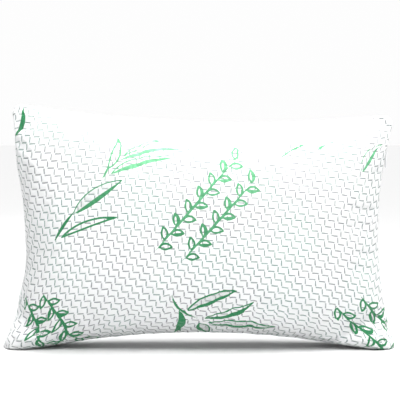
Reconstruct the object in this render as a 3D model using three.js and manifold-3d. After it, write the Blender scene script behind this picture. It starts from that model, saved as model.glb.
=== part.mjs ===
// A bed pillow standing on its long edge: a quilted knit cover with a zip along its right short side,
// an inner pillow with a thin cloth liner, and a loose foam fill. Millimetres. X is the length, Y the
// thickness (the front face looks along -Y) and Z is up. The origin is on the floor, under the middle.

import * as THREE from 'three';
import { mergeVertices } from 'three/addons/utils/BufferGeometryUtils.js';
import Module from 'manifold-3d';

const wasm = await Module();
wasm.setup();

// ---- Driving dimensions: the stuffed pillow ----

const lowerLength = 690; // across the two lower corners
const upperLength = 658; // across the two upper corners
const upperShift = 7; // the upper edge sits this far towards +X
const leftHeight = 424; // floor to the top of the upper left corner
const rightHeight = 405; // floor to the top of the upper right corner
const thickness = 160; // front face to back face, at the fullest place
const cornerRadius = 15; // the rounding of each corner's ear
const topSag = 21; // how far the upper edge dips between its corners
const sideSag = 27; // how far each short side pulls in
const bottomRise = 26; // floor to the middle of the lower edge
const footPress = 14; // how much of each lower corner the floor flattens
const footSpread = 2.5; // how much wider the flattened corners bulge at the floor
const footSpreadHeight = 27; // and how far up that reaches
const footSpreadFocus = 4; // a higher power keeps it closer to the corners

// The bulge over the length and the height is (1 - |share of the half size| ^ fullness) ^ roundness.
const lengthFullness = 2.9;
const heightFullness = 2.5;
const edgeRoundness = 0.56;

// ---- Driving dimensions: cloth, seams and fill ----

const coverCloth = 2; // the quilted knit's thickness
const linerCloth = 0.8; // the inner pillow's woven cloth
const layerGap = 0.6; // between one layer and the next
const seamGap = 0.3; // between the two panels that meet at a seam
const rimGap = 1.4; // between what lies behind an edge and the next layer's own edge
const fillEdge = 6; // the fill's thickness at its own edge
const coverSeamInset = 3.2; // the cover's edge to the outer side of the seam allowance behind it
const linerSeamInset = 1.7; // and the same for the liner
const seamWidth = 6.4; // the seam allowance's width
const coverSeamThickness = 2.4; // two layers of knit pressed together under the overlock thread
const linerSeamThickness = 1.6;
const seamShare = 0.74; // the share of an edge that its flat seam allowance covers
const endSeamLength = 16; // the short seams above and below the zip

// ---- Driving dimensions: the zip ----

const zipLength = 300; // the coil, end to end
const slotHalfWidth = 5.4; // the middle of the zip to each edge of the cloth beside it
const slotEnd = 5; // the slot runs this far past each end of the coil
const slotDepth = 9; // how far the slot's cut reaches through the cover
const coilDepth = 2.7; // the pillow's edge to the coil's outer face
const coilThickness = 2.2;
const coilGap = 1.6; // between the two rows of coil
const coilWidth = 2.2; // one row
const tapeThickness = 0.6;
const tapeWidth = 11; // from the coil's gap to the tape's far edge
const tapeBend = 4.9; // the middle of the zip to where a tape turns in along the cover
const tapeGap = 1.2; // between a tape's far edge and the cover's inner wall
const tapeTail = 9; // the tape runs this far past each end of the coil
const fitGap = 0.3; // between parts of the zip that touch
const stopLength = 3;
const stopWidth = 2.9; // a top stop over one row of coil
const sliderLength = 11;
const sliderNose = 8.8; // the slider's width at its upper end
const sliderTail = 7.4; // and at its lower end
const sliderPlate = 1.2;
const sliderCorner = 1.2;
const sliderFlange = 1;
const flangeLength = 4.4;
const postThickness = 1;
const postLength = 3.2;
const bridgeWidth = 1.6;
const bridgeThickness = 0.8;
const bridgeSpan = 4.8; // inside, between its two legs
const bridgeRoom = 2.5; // inside, between the plate and the bridge
const pullLength = 26; // from the pull's hinge to its tip
const pullWidth = 7.6;
const pullNeck = 5.6;
const pullThickness = 1.2;
const pullBar = 1.6; // the bar of the pull that the bridge holds
const pullWindow = 4; // the length of the opening that the bridge goes through
const pullWindowWidth = 2.6;
const pullWindowCorner = 0.5;
const pullCorner = 0.7;
const pullEye = 1.5; // the radius of the eye near the pull's tip

// ---- Fineness of the faceted surfaces ----

const lengthCells = 22;
const heightCells = 16;
const zipCells = 30;
const seamCells = 14;

// ---- Colours ----

const white = 0xf4f5f6;
const linerWhite = 0xeeeeea;
const foamCream = 0xe9e4d2;
const tapeWhite = 0xf0f1f2;
const nylonWhite = 0xe8eaec;
const lacquerWhite = 0xf0f1f1;

// ---- Helpers ----

function solidOf(geometry) {
  const plain = geometry.index ? geometry.clone() : mergeVertices(geometry);
  plain.deleteAttribute('normal');
  plain.deleteAttribute('uv');
  const merged = mergeVertices(plain, 1e-4);
  return new wasm.Manifold(
    new wasm.Mesh({
      numProp: 3,
      vertProperties: new Float32Array(merged.attributes.position.array),
      triVerts: new Uint32Array(merged.index.array),
    }),
  );
}

function geometryOf(solid) {
  const mesh = solid.getMesh();
  const geometry = new THREE.BufferGeometry();
  geometry.setAttribute('position', new THREE.BufferAttribute(mesh.vertProperties, 3));
  geometry.setIndex(new THREE.BufferAttribute(mesh.triVerts, 1));
  geometry.computeVertexNormals();
  return geometry;
}

// Moves each vertex of a geometry to where place() says, and joins the corners that meet.
function reshaped(geometry, place) {
  const shape = geometry.clone();
  shape.deleteAttribute('normal');
  shape.deleteAttribute('uv');
  const positions = shape.attributes.position;
  const vertex = new THREE.Vector3();
  for (let i = 0; i < positions.count; i += 1) {
    vertex.fromBufferAttribute(positions, i);
    const moved = place(vertex);
    positions.setXYZ(i, moved.x, moved.y, moved.z);
  }
  const merged = mergeVertices(shape, 1e-4);
  merged.computeVertexNormals();
  return merged;
}

function part(name, geometry, color, roughness, metalness = 0) {
  const material = new THREE.MeshStandardMaterial({ color, roughness, metalness });
  const mesh = new THREE.Mesh(geometry, material);
  mesh.name = name;
  return mesh;
}

// ---- The outline: four round ears joined by four arcs that curve inwards ----

const lowerEar = cornerRadius - footPress;
const ears = {
  lowerLeft: new THREE.Vector2(-lowerLength / 2 + cornerRadius, lowerEar),
  lowerRight: new THREE.Vector2(lowerLength / 2 - cornerRadius, lowerEar),
  upperLeft: new THREE.Vector2(
    upperShift - upperLength / 2 + cornerRadius,
    leftHeight - cornerRadius,
  ),
  upperRight: new THREE.Vector2(
    upperShift + upperLength / 2 - cornerRadius,
    rightHeight - cornerRadius,
  ),
};

// The arc that touches two ears and dips `sag` below the line over both: its centre and radius.
function dippingArc(from, to, outward, sag) {
  const half = from.distanceTo(to) / 2;
  const toEarCentre = (half * half + sag * sag) / (2 * sag);
  const along = to.clone().sub(from).normalize();
  const normal = new THREE.Vector2(-along.y, along.x);
  if (normal.dot(outward) < 0) {
    normal.negate();
  }
  const middle = from.clone().add(to).multiplyScalar(0.5);
  return {
    centre: middle.addScaledVector(normal, toEarCentre - sag),
    radius: toEarCentre - cornerRadius,
  };
}

const { lowerLeft, lowerRight, upperLeft, upperRight } = ears;
const arcs = {
  bottom: dippingArc(lowerLeft, lowerRight, new THREE.Vector2(0, -1), bottomRise + footPress),
  right: dippingArc(lowerRight, upperRight, new THREE.Vector2(1, 0), sideSag),
  top: dippingArc(upperLeft, upperRight, new THREE.Vector2(0, 1), topSag),
  left: dippingArc(lowerLeft, upperLeft, new THREE.Vector2(-1, 0), sideSag),
};

// The centre of an ear that lies `reach` inside two of the arcs, near the pillow's own ear.
function earCentre(arcA, arcB, reach, near) {
  const fromA = arcA.radius + reach;
  const fromB = arcB.radius + reach;
  const apart = arcB.centre.distanceTo(arcA.centre);
  const along = (apart * apart + fromA * fromA - fromB * fromB) / (2 * apart);
  const off = Math.sqrt(fromA * fromA - along * along);
  const unit = arcB.centre.clone().sub(arcA.centre).normalize();
  const foot = arcA.centre.clone().addScaledVector(unit, along);
  const normal = new THREE.Vector2(-unit.y, unit.x);
  const one = foot.clone().addScaledVector(normal, off);
  const other = foot.clone().addScaledVector(normal, -off);
  return one.distanceTo(near) < other.distanceTo(near) ? one : other;
}

// One edge, from the outermost point of one ear to that of the next, `rim` inside the arc.
function edgePath(from, to, arc, rim, earRadius, startAngle, endAngle, clockwise) {
  const leave = arc.centre.clone().sub(from).angle();
  const arrive = arc.centre.clone().sub(to).angle();
  const sideStart = leave + Math.PI;
  const turn = THREE.MathUtils.euclideanModulo(arrive - leave + Math.PI, 2 * Math.PI) - Math.PI;
  const sideEnd = sideStart + turn;
  const { x, y } = arc.centre;
  const path = new THREE.Path();
  path.absarc(from.x, from.y, earRadius, startAngle, leave, clockwise);
  path.absarc(x, y, arc.radius + rim, sideStart, sideEnd, !clockwise);
  path.absarc(to.x, to.y, earRadius, arrive, endAngle, clockwise);
  return { path, arc: { centre: arc.centre, radius: arc.radius + rim }, sideStart, sideEnd };
}

// The four edges of a layer whose rim lies `rim` inside the pillow's edge.
function outline(rim, radius) {
  const reach = rim + radius;
  const a = earCentre(arcs.bottom, arcs.left, reach, lowerLeft);
  const b = earCentre(arcs.bottom, arcs.right, reach, lowerRight);
  const c = earCentre(arcs.top, arcs.left, reach, upperLeft);
  const d = earCentre(arcs.top, arcs.right, reach, upperRight);
  const quarter = Math.PI / 4;
  return {
    bottom: edgePath(a, b, arcs.bottom, rim, radius, 5 * quarter, 7 * quarter, false),
    right: edgePath(b, d, arcs.right, rim, radius, -quarter, quarter, false),
    top: edgePath(c, d, arcs.top, rim, radius, 3 * quarter, quarter, true),
    left: edgePath(a, c, arcs.left, rim, radius, 5 * quarter, 3 * quarter, true),
  };
}

// ---- The layers: nested closed surfaces, each with its own rim and its own belly ----

// `rim` is how far the layer's edge lies inside the pillow's, and `under` how far its faces lie
// under the pillow's faces and over the floor. point(s, t, side) takes s and t from -1 to 1.
function layer(rim, under, radius, halfEdge) {
  const edges = outline(rim, radius);
  const fullest = thickness / 2 - under - halfEdge;
  const at = (edge, share) => edge.path.getPointAt((share + 1) / 2);
  const corners = [at(edges.bottom, -1), at(edges.bottom, 1), at(edges.top, -1), at(edges.top, 1)];
  return {
    edges,
    point(s, t, side) {
      const a = (s + 1) / 2;
      const b = (t + 1) / 2;
      const flat = new THREE.Vector2();
      flat.addScaledVector(at(edges.bottom, s), 1 - b);
      flat.addScaledVector(at(edges.top, s), b);
      flat.addScaledVector(at(edges.left, t), 1 - a);
      flat.addScaledVector(at(edges.right, t), a);
      flat.addScaledVector(corners[0], -(1 - a) * (1 - b));
      flat.addScaledVector(corners[1], -a * (1 - b));
      flat.addScaledVector(corners[2], -(1 - a) * b);
      flat.addScaledVector(corners[3], -a * b);
      const y = side * (halfEdge + fullest * bulge(s, t) * footBulge(s, flat.y));
      return new THREE.Vector3(flat.x, y, Math.max(flat.y, under));
    },
  };
}

function bulge(s, t) {
  const overLength = Math.max(0, 1 - Math.abs(s) ** lengthFullness);
  const overHeight = Math.max(0, 1 - Math.abs(t) ** heightFullness);
  return (overLength * overHeight) ** edgeRoundness;
}

// The weight that rests on the lower corners pushes them out sideways.
function footBulge(s, height) {
  const nearness = Math.exp(-((Math.max(height, 0) / footSpreadHeight) ** 2));
  return 1 + footSpread * Math.abs(s) ** footSpreadFocus * nearness;
}

// Brings an even grid's lines closer together towards the edges.
function towardsEdge(share) {
  return Math.sin((share * Math.PI) / 2);
}

const coilBack = coilDepth + coilThickness;
const tapeDepth = coilBack + fitGap;
const innerPlateDepth = tapeDepth + tapeThickness + fitGap;
const behindCoverEdge = Math.max(coverSeamInset + seamWidth, innerPlateDepth + sliderPlate);
const linerRim = behindCoverEdge + rimGap;
const fillRim = linerSeamInset + seamWidth + rimGap;

const coverOutside = layer(0, 0, cornerRadius, seamGap / 2);
const coverInside = layer(coverCloth, coverCloth, cornerRadius - coverCloth, seamGap / 2);
const linerUnder = coverCloth + layerGap;
const linerOutside = layer(linerRim, linerUnder, cornerRadius, seamGap / 2);
const linerInside = layer(
  linerRim + linerCloth,
  linerUnder + linerCloth,
  cornerRadius - linerCloth,
  seamGap / 2,
);
const fillOutside = layer(
  linerRim + linerCloth + fillRim,
  linerUnder + linerCloth + layerGap,
  cornerRadius,
  fillEdge / 2,
);

const front = -1;
const back = 1;

// A cloth panel on one side of the pillow: a flat box whose two faces take the shape of two layers.
function clothPanel(outside, inside, side) {
  const sheet = new THREE.BoxGeometry(2, 2, 2, lengthCells, heightCells, 1);
  return reshaped(sheet, (v) => {
    const surface = v.z > 0 ? outside : inside;
    return surface.point(-side * towardsEdge(v.x), towardsEdge(v.y), side);
  });
}

function foamFill() {
  const block = new THREE.BoxGeometry(2, 2, 2, lengthCells, heightCells, 1);
  return reshaped(block, (v) =>
    fillOutside.point(towardsEdge(v.x), towardsEdge(v.y), v.z > 0 ? front : back),
  );
}

// ---- Seam allowances: flat strips behind the edges, cut as arcs that follow them ----

// The strip between two angles of an edge's arc, `inset` behind the edge.
function seamStrip(edge, startAngle, endAngle, inset, stripThickness) {
  const { centre, radius } = edge.arc;
  const turnsBack = endAngle < startAngle;
  const shape = new THREE.Shape();
  const near = radius + inset;
  const far = near + seamWidth;
  shape.absarc(centre.x, centre.y, near, startAngle, endAngle, turnsBack);
  shape.absarc(centre.x, centre.y, far, endAngle, startAngle, !turnsBack);
  shape.closePath();
  const strip = new THREE.ExtrudeGeometry(shape, {
    depth: stripThickness,
    curveSegments: seamCells,
    bevelEnabled: false,
  });
  strip.translate(0, 0, -stripThickness / 2);
  strip.rotateX(Math.PI / 2);
  return strip;
}

// The strip over the middle share of an edge.
function middleSeam(edge, share, inset, stripThickness) {
  const middle = (edge.sideStart + edge.sideEnd) / 2;
  const half = ((edge.sideEnd - edge.sideStart) / 2) * share;
  return seamStrip(edge, middle - half, middle + half, inset, stripThickness);
}

// ---- The zip: modelled straight, then wrapped onto the right side's arc ----

const zipArc = coverOutside.edges.right.arc;
const zipStart = coverOutside.edges.right.sideStart;
const zipEnd = coverOutside.edges.right.sideEnd;
const zipMiddle = (zipStart + zipEnd) / 2;

// The angle about the arc's centre of a place `along` the zip, upwards from its middle.
function zipAngle(along) {
  return zipMiddle - along / zipArc.radius;
}

// The place `along` the zip, `across` it towards +Y and `depth` inside the pillow's edge.
function zipPoint(along, across, depth) {
  const angle = zipAngle(along);
  const radius = zipArc.radius + depth;
  return new THREE.Vector3(
    zipArc.centre.x + radius * Math.cos(angle),
    across,
    zipArc.centre.y + radius * Math.sin(angle),
  );
}

// A profile of [across, depth] corners, run along the zip from one place to another.
function zipStrip(profile, from, to, cells) {
  const shape = new THREE.Shape(profile.map(([across, depth]) => new THREE.Vector2(across, depth)));
  const straight = new THREE.ExtrudeGeometry(shape, {
    depth: to - from,
    steps: cells,
    bevelEnabled: false,
  });
  return reshaped(straight, (v) => zipPoint(from + v.z, v.x, v.y));
}

function rectangle(acrossFrom, acrossTo, depthFrom, depthTo) {
  return [
    [acrossFrom, depthFrom],
    [acrossFrom, depthTo],
    [acrossTo, depthTo],
    [acrossTo, depthFrom],
  ];
}

const coilNear = coilGap / 2;
const coilFar = coilNear + coilWidth;
const halfZip = zipLength / 2;

function coilRow(side) {
  const chamfer = coilThickness / 4;
  const profile = [
    [coilNear, coilDepth + chamfer],
    [coilNear, coilBack - chamfer],
    [coilNear + chamfer, coilBack],
    [coilFar - chamfer, coilBack],
    [coilFar, coilBack - chamfer],
    [coilFar, coilDepth + chamfer],
    [coilFar - chamfer, coilDepth],
    [coilNear + chamfer, coilDepth],
  ].map(([across, depth]) => [side * across, depth]);
  return zipStrip(profile, -halfZip, halfZip, zipCells);
}

// How deep the cover's inner wall lies at a place `across` from the zip's middle.
function wallDepth(along, across) {
  const { path } = coverOutside.edges.right;
  const run = path.curves[0].getLength() + (zipStart - zipAngle(along)) * zipArc.radius;
  const t = (2 * run) / path.getLength() - 1;
  const wall = (column) => coverInside.point(towardsEdge(1 - (2 * column) / lengthCells), t, back);
  let column = 1;
  while (wall(column).y < across) {
    column += 1;
  }
  const near = wall(column - 1);
  const far = wall(column);
  const place = near.lerp(far, (across - near.y) / (far.y - near.y));
  return Math.hypot(place.x - zipArc.centre.x, place.z - zipArc.centre.y) - zipArc.radius;
}

function zipTape(side) {
  const far = coilNear + tapeWidth;
  const end = halfZip + tapeTail;
  const fall = Math.max(wallDepth(end, far), wallDepth(-end, far)) + tapeGap - tapeDepth;
  const profile = [
    [coilNear, tapeDepth],
    [tapeBend, tapeDepth],
    [far, tapeDepth + fall],
    [far, tapeDepth + fall + tapeThickness],
    [tapeBend, tapeDepth + tapeThickness],
    [coilNear, tapeDepth + tapeThickness],
  ].map(([across, depth]) => [side * across, depth]);
  return zipStrip(profile, -halfZip - tapeTail, halfZip + tapeTail, zipCells);
}

function topStop(side) {
  const far = coilNear + stopWidth;
  const profile = rectangle(side * coilNear, side * far, coilDepth - fitGap, coilBack);
  return zipStrip(profile, halfZip + fitGap, halfZip + fitGap + stopLength, 1);
}

function bottomStop() {
  const far = coilNear + stopWidth;
  const profile = rectangle(-far, far, coilDepth - fitGap, coilBack);
  return zipStrip(profile, -halfZip - fitGap - stopLength, -halfZip - fitGap, 1);
}

// The cut that opens the cover for the zip.
function zipSlot() {
  const profile = rectangle(-slotHalfWidth, slotHalfWidth, -slotDepth, slotDepth);
  return solidOf(zipStrip(profile, -halfZip - slotEnd, halfZip + slotEnd, zipCells));
}

function coverPanel(side) {
  const whole = solidOf(clothPanel(coverOutside, coverInside, side));
  return geometryOf(whole.subtract(zipSlot()));
}

// ---- The slider and its pull: rigid, so they are placed on the arc, not wrapped onto it ----
// Local axes: X is the depth into the pillow, Y is across and Z is up along the zip.

const plateDepth = coilDepth - fitGap - sliderPlate; // the outer plate's outer face
const hingeDepth = plateDepth - bridgeRoom / 2; // the pull's hinge, inside the bridge

// A flat outline in Y and Z, given a thickness into the pillow.
function plate(shape, depth, plateThickness) {
  const geometry = new THREE.ExtrudeGeometry(shape, {
    depth: plateThickness,
    curveSegments: 4,
    bevelEnabled: false,
  });
  const turn = new THREE.Matrix4().makeBasis(
    new THREE.Vector3(0, 1, 0),
    new THREE.Vector3(0, 0, 1),
    new THREE.Vector3(1, 0, 0),
  );
  geometry.applyMatrix4(turn);
  geometry.translate(depth, 0, 0);
  return solidOf(geometry);
}

function block(depth, depthSize, across, acrossSize, height, heightSize) {
  const geometry = new THREE.BoxGeometry(depthSize, acrossSize, heightSize);
  geometry.translate(depth + depthSize / 2, across, height);
  return solidOf(geometry);
}

function sliderOutline() {
  const half = sliderLength / 2;
  const corner = sliderCorner;
  const shape = new THREE.Shape();
  shape.moveTo(-sliderTail / 2 + corner, -half);
  shape.lineTo(sliderTail / 2 - corner, -half);
  shape.quadraticCurveTo(sliderTail / 2, -half, sliderTail / 2, -half + corner);
  shape.lineTo(sliderNose / 2, half / 2);
  shape.lineTo(sliderNose / 2, half - corner);
  shape.quadraticCurveTo(sliderNose / 2, half, sliderNose / 2 - corner, half);
  shape.lineTo(-sliderNose / 2 + corner, half);
  shape.quadraticCurveTo(-sliderNose / 2, half, -sliderNose / 2, half - corner);
  shape.lineTo(-sliderNose / 2, half / 2);
  shape.lineTo(-sliderTail / 2, -half + corner);
  shape.quadraticCurveTo(-sliderTail / 2, -half, -sliderTail / 2 + corner, -half);
  return shape;
}

function slider() {
  const half = sliderLength / 2;
  const flangeDepth = tapeDepth - fitGap - coilDepth + fitGap;
  const flangePlace = sliderNose / 2 - sliderFlange / 2;
  const legPlace = bridgeSpan / 2 + bridgeThickness / 2;
  const bridgeDepth = plateDepth - bridgeRoom - bridgeThickness;
  const bridgeHeight = bridgeRoom + bridgeThickness + sliderPlate / 2;
  const postDepth = innerPlateDepth - coilDepth + fitGap + sliderPlate;
  let body = plate(sliderOutline(), plateDepth, sliderPlate);
  body = body.add(plate(sliderOutline(), innerPlateDepth, sliderPlate));
  const postStart = coilDepth - fitGap - sliderPlate / 2;
  body = body.add(block(postStart, postDepth, 0, postThickness, half - postLength / 2, postLength));
  for (const side of [-1, 1]) {
    const flange = block(
      coilDepth - fitGap - sliderPlate / 2,
      flangeDepth + sliderPlate / 2,
      side * flangePlace,
      sliderFlange,
      half / 2,
      flangeLength,
    );
    body = body.add(flange);
    body = body.add(
      block(bridgeDepth, bridgeHeight, 0, bridgeWidth, side * legPlace, bridgeThickness),
    );
  }
  const bridgeLength = bridgeSpan + 2 * bridgeThickness;
  body = body.add(block(bridgeDepth, bridgeThickness, 0, bridgeWidth, 0, bridgeLength));
  return geometryOf(body);
}

// The opening that the slider's bridge goes through.
function pullWindowHole() {
  const corner = pullWindowCorner;
  const side = pullWindowWidth / 2;
  const to = -pullBar / 2;
  const from = to - pullWindow;
  const hole = new THREE.Path();
  hole.moveTo(-side + corner, from);
  hole.lineTo(side - corner, from);
  hole.quadraticCurveTo(side, from, side, from + corner);
  hole.lineTo(side, to - corner);
  hole.quadraticCurveTo(side, to, side - corner, to);
  hole.lineTo(-side + corner, to);
  hole.quadraticCurveTo(-side, to, -side, to - corner);
  hole.lineTo(-side, from + corner);
  hole.quadraticCurveTo(-side, from, -side + corner, from);
  return hole;
}

// The pull hangs straight down from its hinge, which is at its own origin.
function pullTab() {
  const top = pullBar / 2;
  const corner = pullCorner;
  const tip = pullWidth / 2;
  const shape = new THREE.Shape();
  shape.moveTo(pullNeck / 2 - corner, top);
  shape.lineTo(-pullNeck / 2 + corner, top);
  shape.quadraticCurveTo(-pullNeck / 2, top, -pullNeck / 2, top - corner);
  shape.lineTo(-pullNeck / 2, -pullBar / 2 - pullWindow);
  shape.lineTo(-pullWidth / 2, -pullLength / 2);
  shape.lineTo(-pullWidth / 2, -pullLength + tip);
  shape.absarc(0, -pullLength + tip, tip, Math.PI, 2 * Math.PI, false);
  shape.lineTo(pullWidth / 2, -pullLength / 2);
  shape.lineTo(pullNeck / 2, -pullBar / 2 - pullWindow);
  shape.lineTo(pullNeck / 2, top - corner);
  shape.quadraticCurveTo(pullNeck / 2, top, pullNeck / 2 - corner, top);
  shape.holes.push(pullWindowHole());
  const eye = new THREE.Path();
  eye.absarc(0, -pullLength + tip, pullEye, 0, 2 * Math.PI, true);
  shape.holes.push(eye);
  return geometryOf(plate(shape, -pullThickness / 2, pullThickness));
}

// ---- The assembly ----

const pillow = new THREE.Group();

function cover() {
  const group = new THREE.Group();
  const { top, bottom, left, right } = coverOutside.edges;
  group.add(part('cover_front_panel', coverPanel(front), white, 0.9));
  group.add(part('cover_back_panel', coverPanel(back), white, 0.9));
  const strips = { cover_top_seam: top, cover_bottom_seam: bottom, cover_left_seam: left };
  for (const [name, edge] of Object.entries(strips)) {
    const strip = middleSeam(edge, seamShare, coverSeamInset, coverSeamThickness);
    group.add(part(name, strip, white, 0.85));
  }
  const clear = halfZip + tapeTail + layerGap;
  const reach = clear + endSeamLength;
  const endSeam = (from, to) =>
    seamStrip(right, zipAngle(from), zipAngle(to), coverSeamInset, coverSeamThickness);
  const upper = endSeam(clear, reach);
  const lower = endSeam(-reach, -clear);
  group.add(part('cover_upper_right_seam', upper, white, 0.85));
  group.add(part('cover_lower_right_seam', lower, white, 0.85));
  return group;
}

function innerPillow() {
  const group = new THREE.Group();
  group.add(part('liner_front_panel', clothPanel(linerOutside, linerInside, front), linerWhite, 0.9));
  group.add(part('liner_back_panel', clothPanel(linerOutside, linerInside, back), linerWhite, 0.9));
  for (const [side, edge] of Object.entries(linerOutside.edges)) {
    const name = side === 'right' ? 'liner_closing_seam' : `liner_${side}_seam`;
    const strip = middleSeam(edge, seamShare, linerSeamInset, linerSeamThickness);
    group.add(part(name, strip, linerWhite, 0.85));
  }
  group.add(part('foam_fill', foamFill(), foamCream, 0.95));
  return group;
}

function zip() {
  const group = new THREE.Group();
  for (const [name, side] of [['front', front], ['back', back]]) {
    group.add(part(`zip_tape_${name}`, zipTape(side), tapeWhite, 0.8));
    group.add(part(`zip_coil_${name}`, coilRow(side), nylonWhite, 0.45));
    group.add(part(`zip_top_stop_${name}`, topStop(side), lacquerWhite, 0.35, 0.1));
  }
  group.add(part('zip_bottom_stop', bottomStop(), lacquerWhite, 0.35, 0.1));
  return group;
}

// The slider stands at the top of the zip, and its pull hangs straight down.
function sliderAndPull() {
  const place = halfZip - sliderLength / 2;
  const lean = zipAngle(place) - Math.PI;
  const group = new THREE.Group();
  const body = part('zip_slider', slider(), lacquerWhite, 0.35, 0.1);
  const frame = new THREE.Matrix4().makeBasis(
    new THREE.Vector3(-Math.cos(lean), 0, -Math.sin(lean)),
    new THREE.Vector3(0, -1, 0),
    new THREE.Vector3(-Math.sin(lean), 0, Math.cos(lean)),
  );
  body.quaternion.setFromRotationMatrix(frame);
  body.position.copy(zipPoint(place, 0, 0));
  group.add(body);
  const pull = part('zip_pull', pullTab(), lacquerWhite, 0.35, 0.1);
  pull.rotation.z = Math.PI;
  pull.position.copy(zipPoint(place, 0, hingeDepth));
  group.add(pull);
  return group;
}

pillow.add(cover());
pillow.add(innerPillow());
pillow.add(zip());
pillow.add(sliderAndPull());

export default pillow;
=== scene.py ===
"""A bed pillow in a quilted knit cover, standing on its long edge.

The packed model is the frame. Round it this add-on makes the padded cover with its printed sprigs, the
inner pillow and its foam, the overlocked seams, and the zip with its coil, tapes, stitching and slider.
Lengths are metres, X is the pillow's length, -Y is its front and Z is up.
"""

import math
from collections import namedtuple

import bpy
import numpy as np
from bpy.props import FloatProperty, FloatVectorProperty, PointerProperty
from mathutils import Matrix, Vector
from mathutils.bvhtree import BVHTree


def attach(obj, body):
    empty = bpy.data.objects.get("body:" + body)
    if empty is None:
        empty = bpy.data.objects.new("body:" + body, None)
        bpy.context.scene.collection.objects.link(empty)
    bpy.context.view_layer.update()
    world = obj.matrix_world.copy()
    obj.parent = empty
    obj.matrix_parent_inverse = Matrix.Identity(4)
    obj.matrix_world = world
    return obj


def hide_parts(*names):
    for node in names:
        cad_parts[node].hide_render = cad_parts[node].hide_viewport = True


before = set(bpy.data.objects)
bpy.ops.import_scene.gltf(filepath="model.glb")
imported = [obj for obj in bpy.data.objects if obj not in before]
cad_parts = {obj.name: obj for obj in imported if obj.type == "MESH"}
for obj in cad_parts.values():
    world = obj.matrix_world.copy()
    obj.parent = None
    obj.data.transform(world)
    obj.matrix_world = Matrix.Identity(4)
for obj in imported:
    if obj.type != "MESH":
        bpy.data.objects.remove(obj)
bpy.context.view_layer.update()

bl_info = {
    "name": "Bed pillow",
    "version": (1, 0, 0),
    "blender": (4, 5, 0),
    "location": "View3D > Sidebar > Pillow",
    "description": "Makes a bed pillow with a quilted knit cover, an inner pillow and a zip",
    "category": "Object",
}

FRONT, BACK = -1, 1
SIDES = {FRONT: "front", BACK: "back"}
MM = 0.001


def length(title, description, default):
    """A size in metres, shown in the sidebar with its unit."""
    return FloatProperty(name=title, description=description, default=default, min=0.0,
                         precision=5, subtype="DISTANCE", unit="LENGTH")


def number(title, description, default):
    return FloatProperty(name=title, description=description, default=default, precision=4)


def colour(title, description, default):
    return FloatVectorProperty(name=title, description=description, default=default, size=3,
                               min=0.0, max=1.0, subtype="COLOR")


# ---- Sizes and colours ----


class PillowShape(bpy.types.PropertyGroup):
    """The stuffed pillow's outline and how full it is."""

    lower_length: length("Lower length", "Across the two lower corners", 0.690)
    upper_length: length("Upper length", "Across the two upper corners", 0.658)
    upper_shift: length("Upper shift", "How far the upper edge sits towards +X", 0.007)
    left_height: length("Left height", "Floor to the top of the upper left corner", 0.424)
    right_height: length("Right height", "Floor to the top of the upper right corner", 0.405)
    thickness: length("Thickness", "Front face to back face at the fullest place", 0.160)
    corner_radius: length("Ear radius", "The rounding of each corner", 0.015)
    top_sag: length("Top sag", "How far the upper edge dips", 0.021)
    side_sag: length("Side sag", "How far each short side pulls in", 0.027)
    bottom_rise: length("Bottom rise", "Floor to the middle of the lower edge", 0.026)
    foot_press: length("Foot press", "How much of a lower corner the floor flattens", 0.014)
    foot_spread: number("Foot spread", "How much wider the lower corners bulge", 2.5)
    foot_height: length("Foot height", "How far up that bulge reaches", 0.027)
    foot_focus: number("Foot focus", "A higher power keeps it at the corners", 4.0)
    length_fullness: number("Length fullness", "Power of the bulge over the length", 2.9)
    height_fullness: number("Height fullness", "Power of the bulge over the height", 2.5)
    edge_roundness: number("Edge roundness", "Power that rounds the bulge's edge", 0.56)
    cloth: length("Knit thickness", "The quilted knit, face to back", 0.002)
    liner_cloth: length("Liner thickness", "The inner pillow's woven cloth", 0.0008)
    layer_gap: length("Layer gap", "Between one layer and the next", 0.0006)
    seam_gap: length("Seam gap", "Between two panels that meet at a seam", 0.0003)
    liner_rim: length("Liner rim", "The cover's edge to the liner's edge", 0.011)
    fill_rim: length("Fill rim", "The liner's edge to the foam's edge", 0.0095)
    fill_edge: length("Fill edge", "The foam's thickness at its own edge", 0.006)
    flat_width: length("Cut width", "The cover's width laid flat", 0.711)
    flat_height: length("Cut height", "The cover's height laid flat", 0.457)


class KnitLook(bpy.types.PropertyGroup):
    """The stair pattern of the quilted knit and the prints on it."""

    unit: length("Knit unit", "One step of the stair pattern", 0.0061)
    dash: number("Flat dash", "Length of a dash along the row, in knit units", 1.55)
    rise: number("Upright dash", "Length of an upright dash, in knit units", 1.2)
    dash_width: length("Dash width", "Width of the line stitched between two puffs", 0.0020)
    puff: length("Puff height", "How far the blocks rise above the stitched lines", 0.0009)
    valley: length("Valley width", "How wide the dip beside a stitched line is", 0.0021)
    cell: length("Mesh cell", "Size of the mesh over the knit's face", 0.0021)
    white: colour("Knit white", "The knit's yarn", (0.86, 0.87, 0.875))
    # The line grey is partly the thread's own grey, partly painted shade in the stitched groove.
    line_grey_and_shade: colour("Line grey", "The yarn that shows in the stitched lines", (0.19, 0.20, 0.21))
    line_teal: colour("Line teal", "The tinted yarn in some of the lines", (0.13, 0.27, 0.22))
    leaf_deep: colour("Deep green", "The printed leaves' darker ink", (0.018, 0.21, 0.075))
    # Painted highlight: the mint stands for the green where the top of the front is brightly lit.
    leaf_mint_highlight: colour("Mint", "The printed leaves' lighter ink", (0.20, 0.56, 0.30))
    hatch_grey: colour("Hatch grey", "The fine lines inside a hatched leaf", (0.36, 0.40, 0.38))


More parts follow.
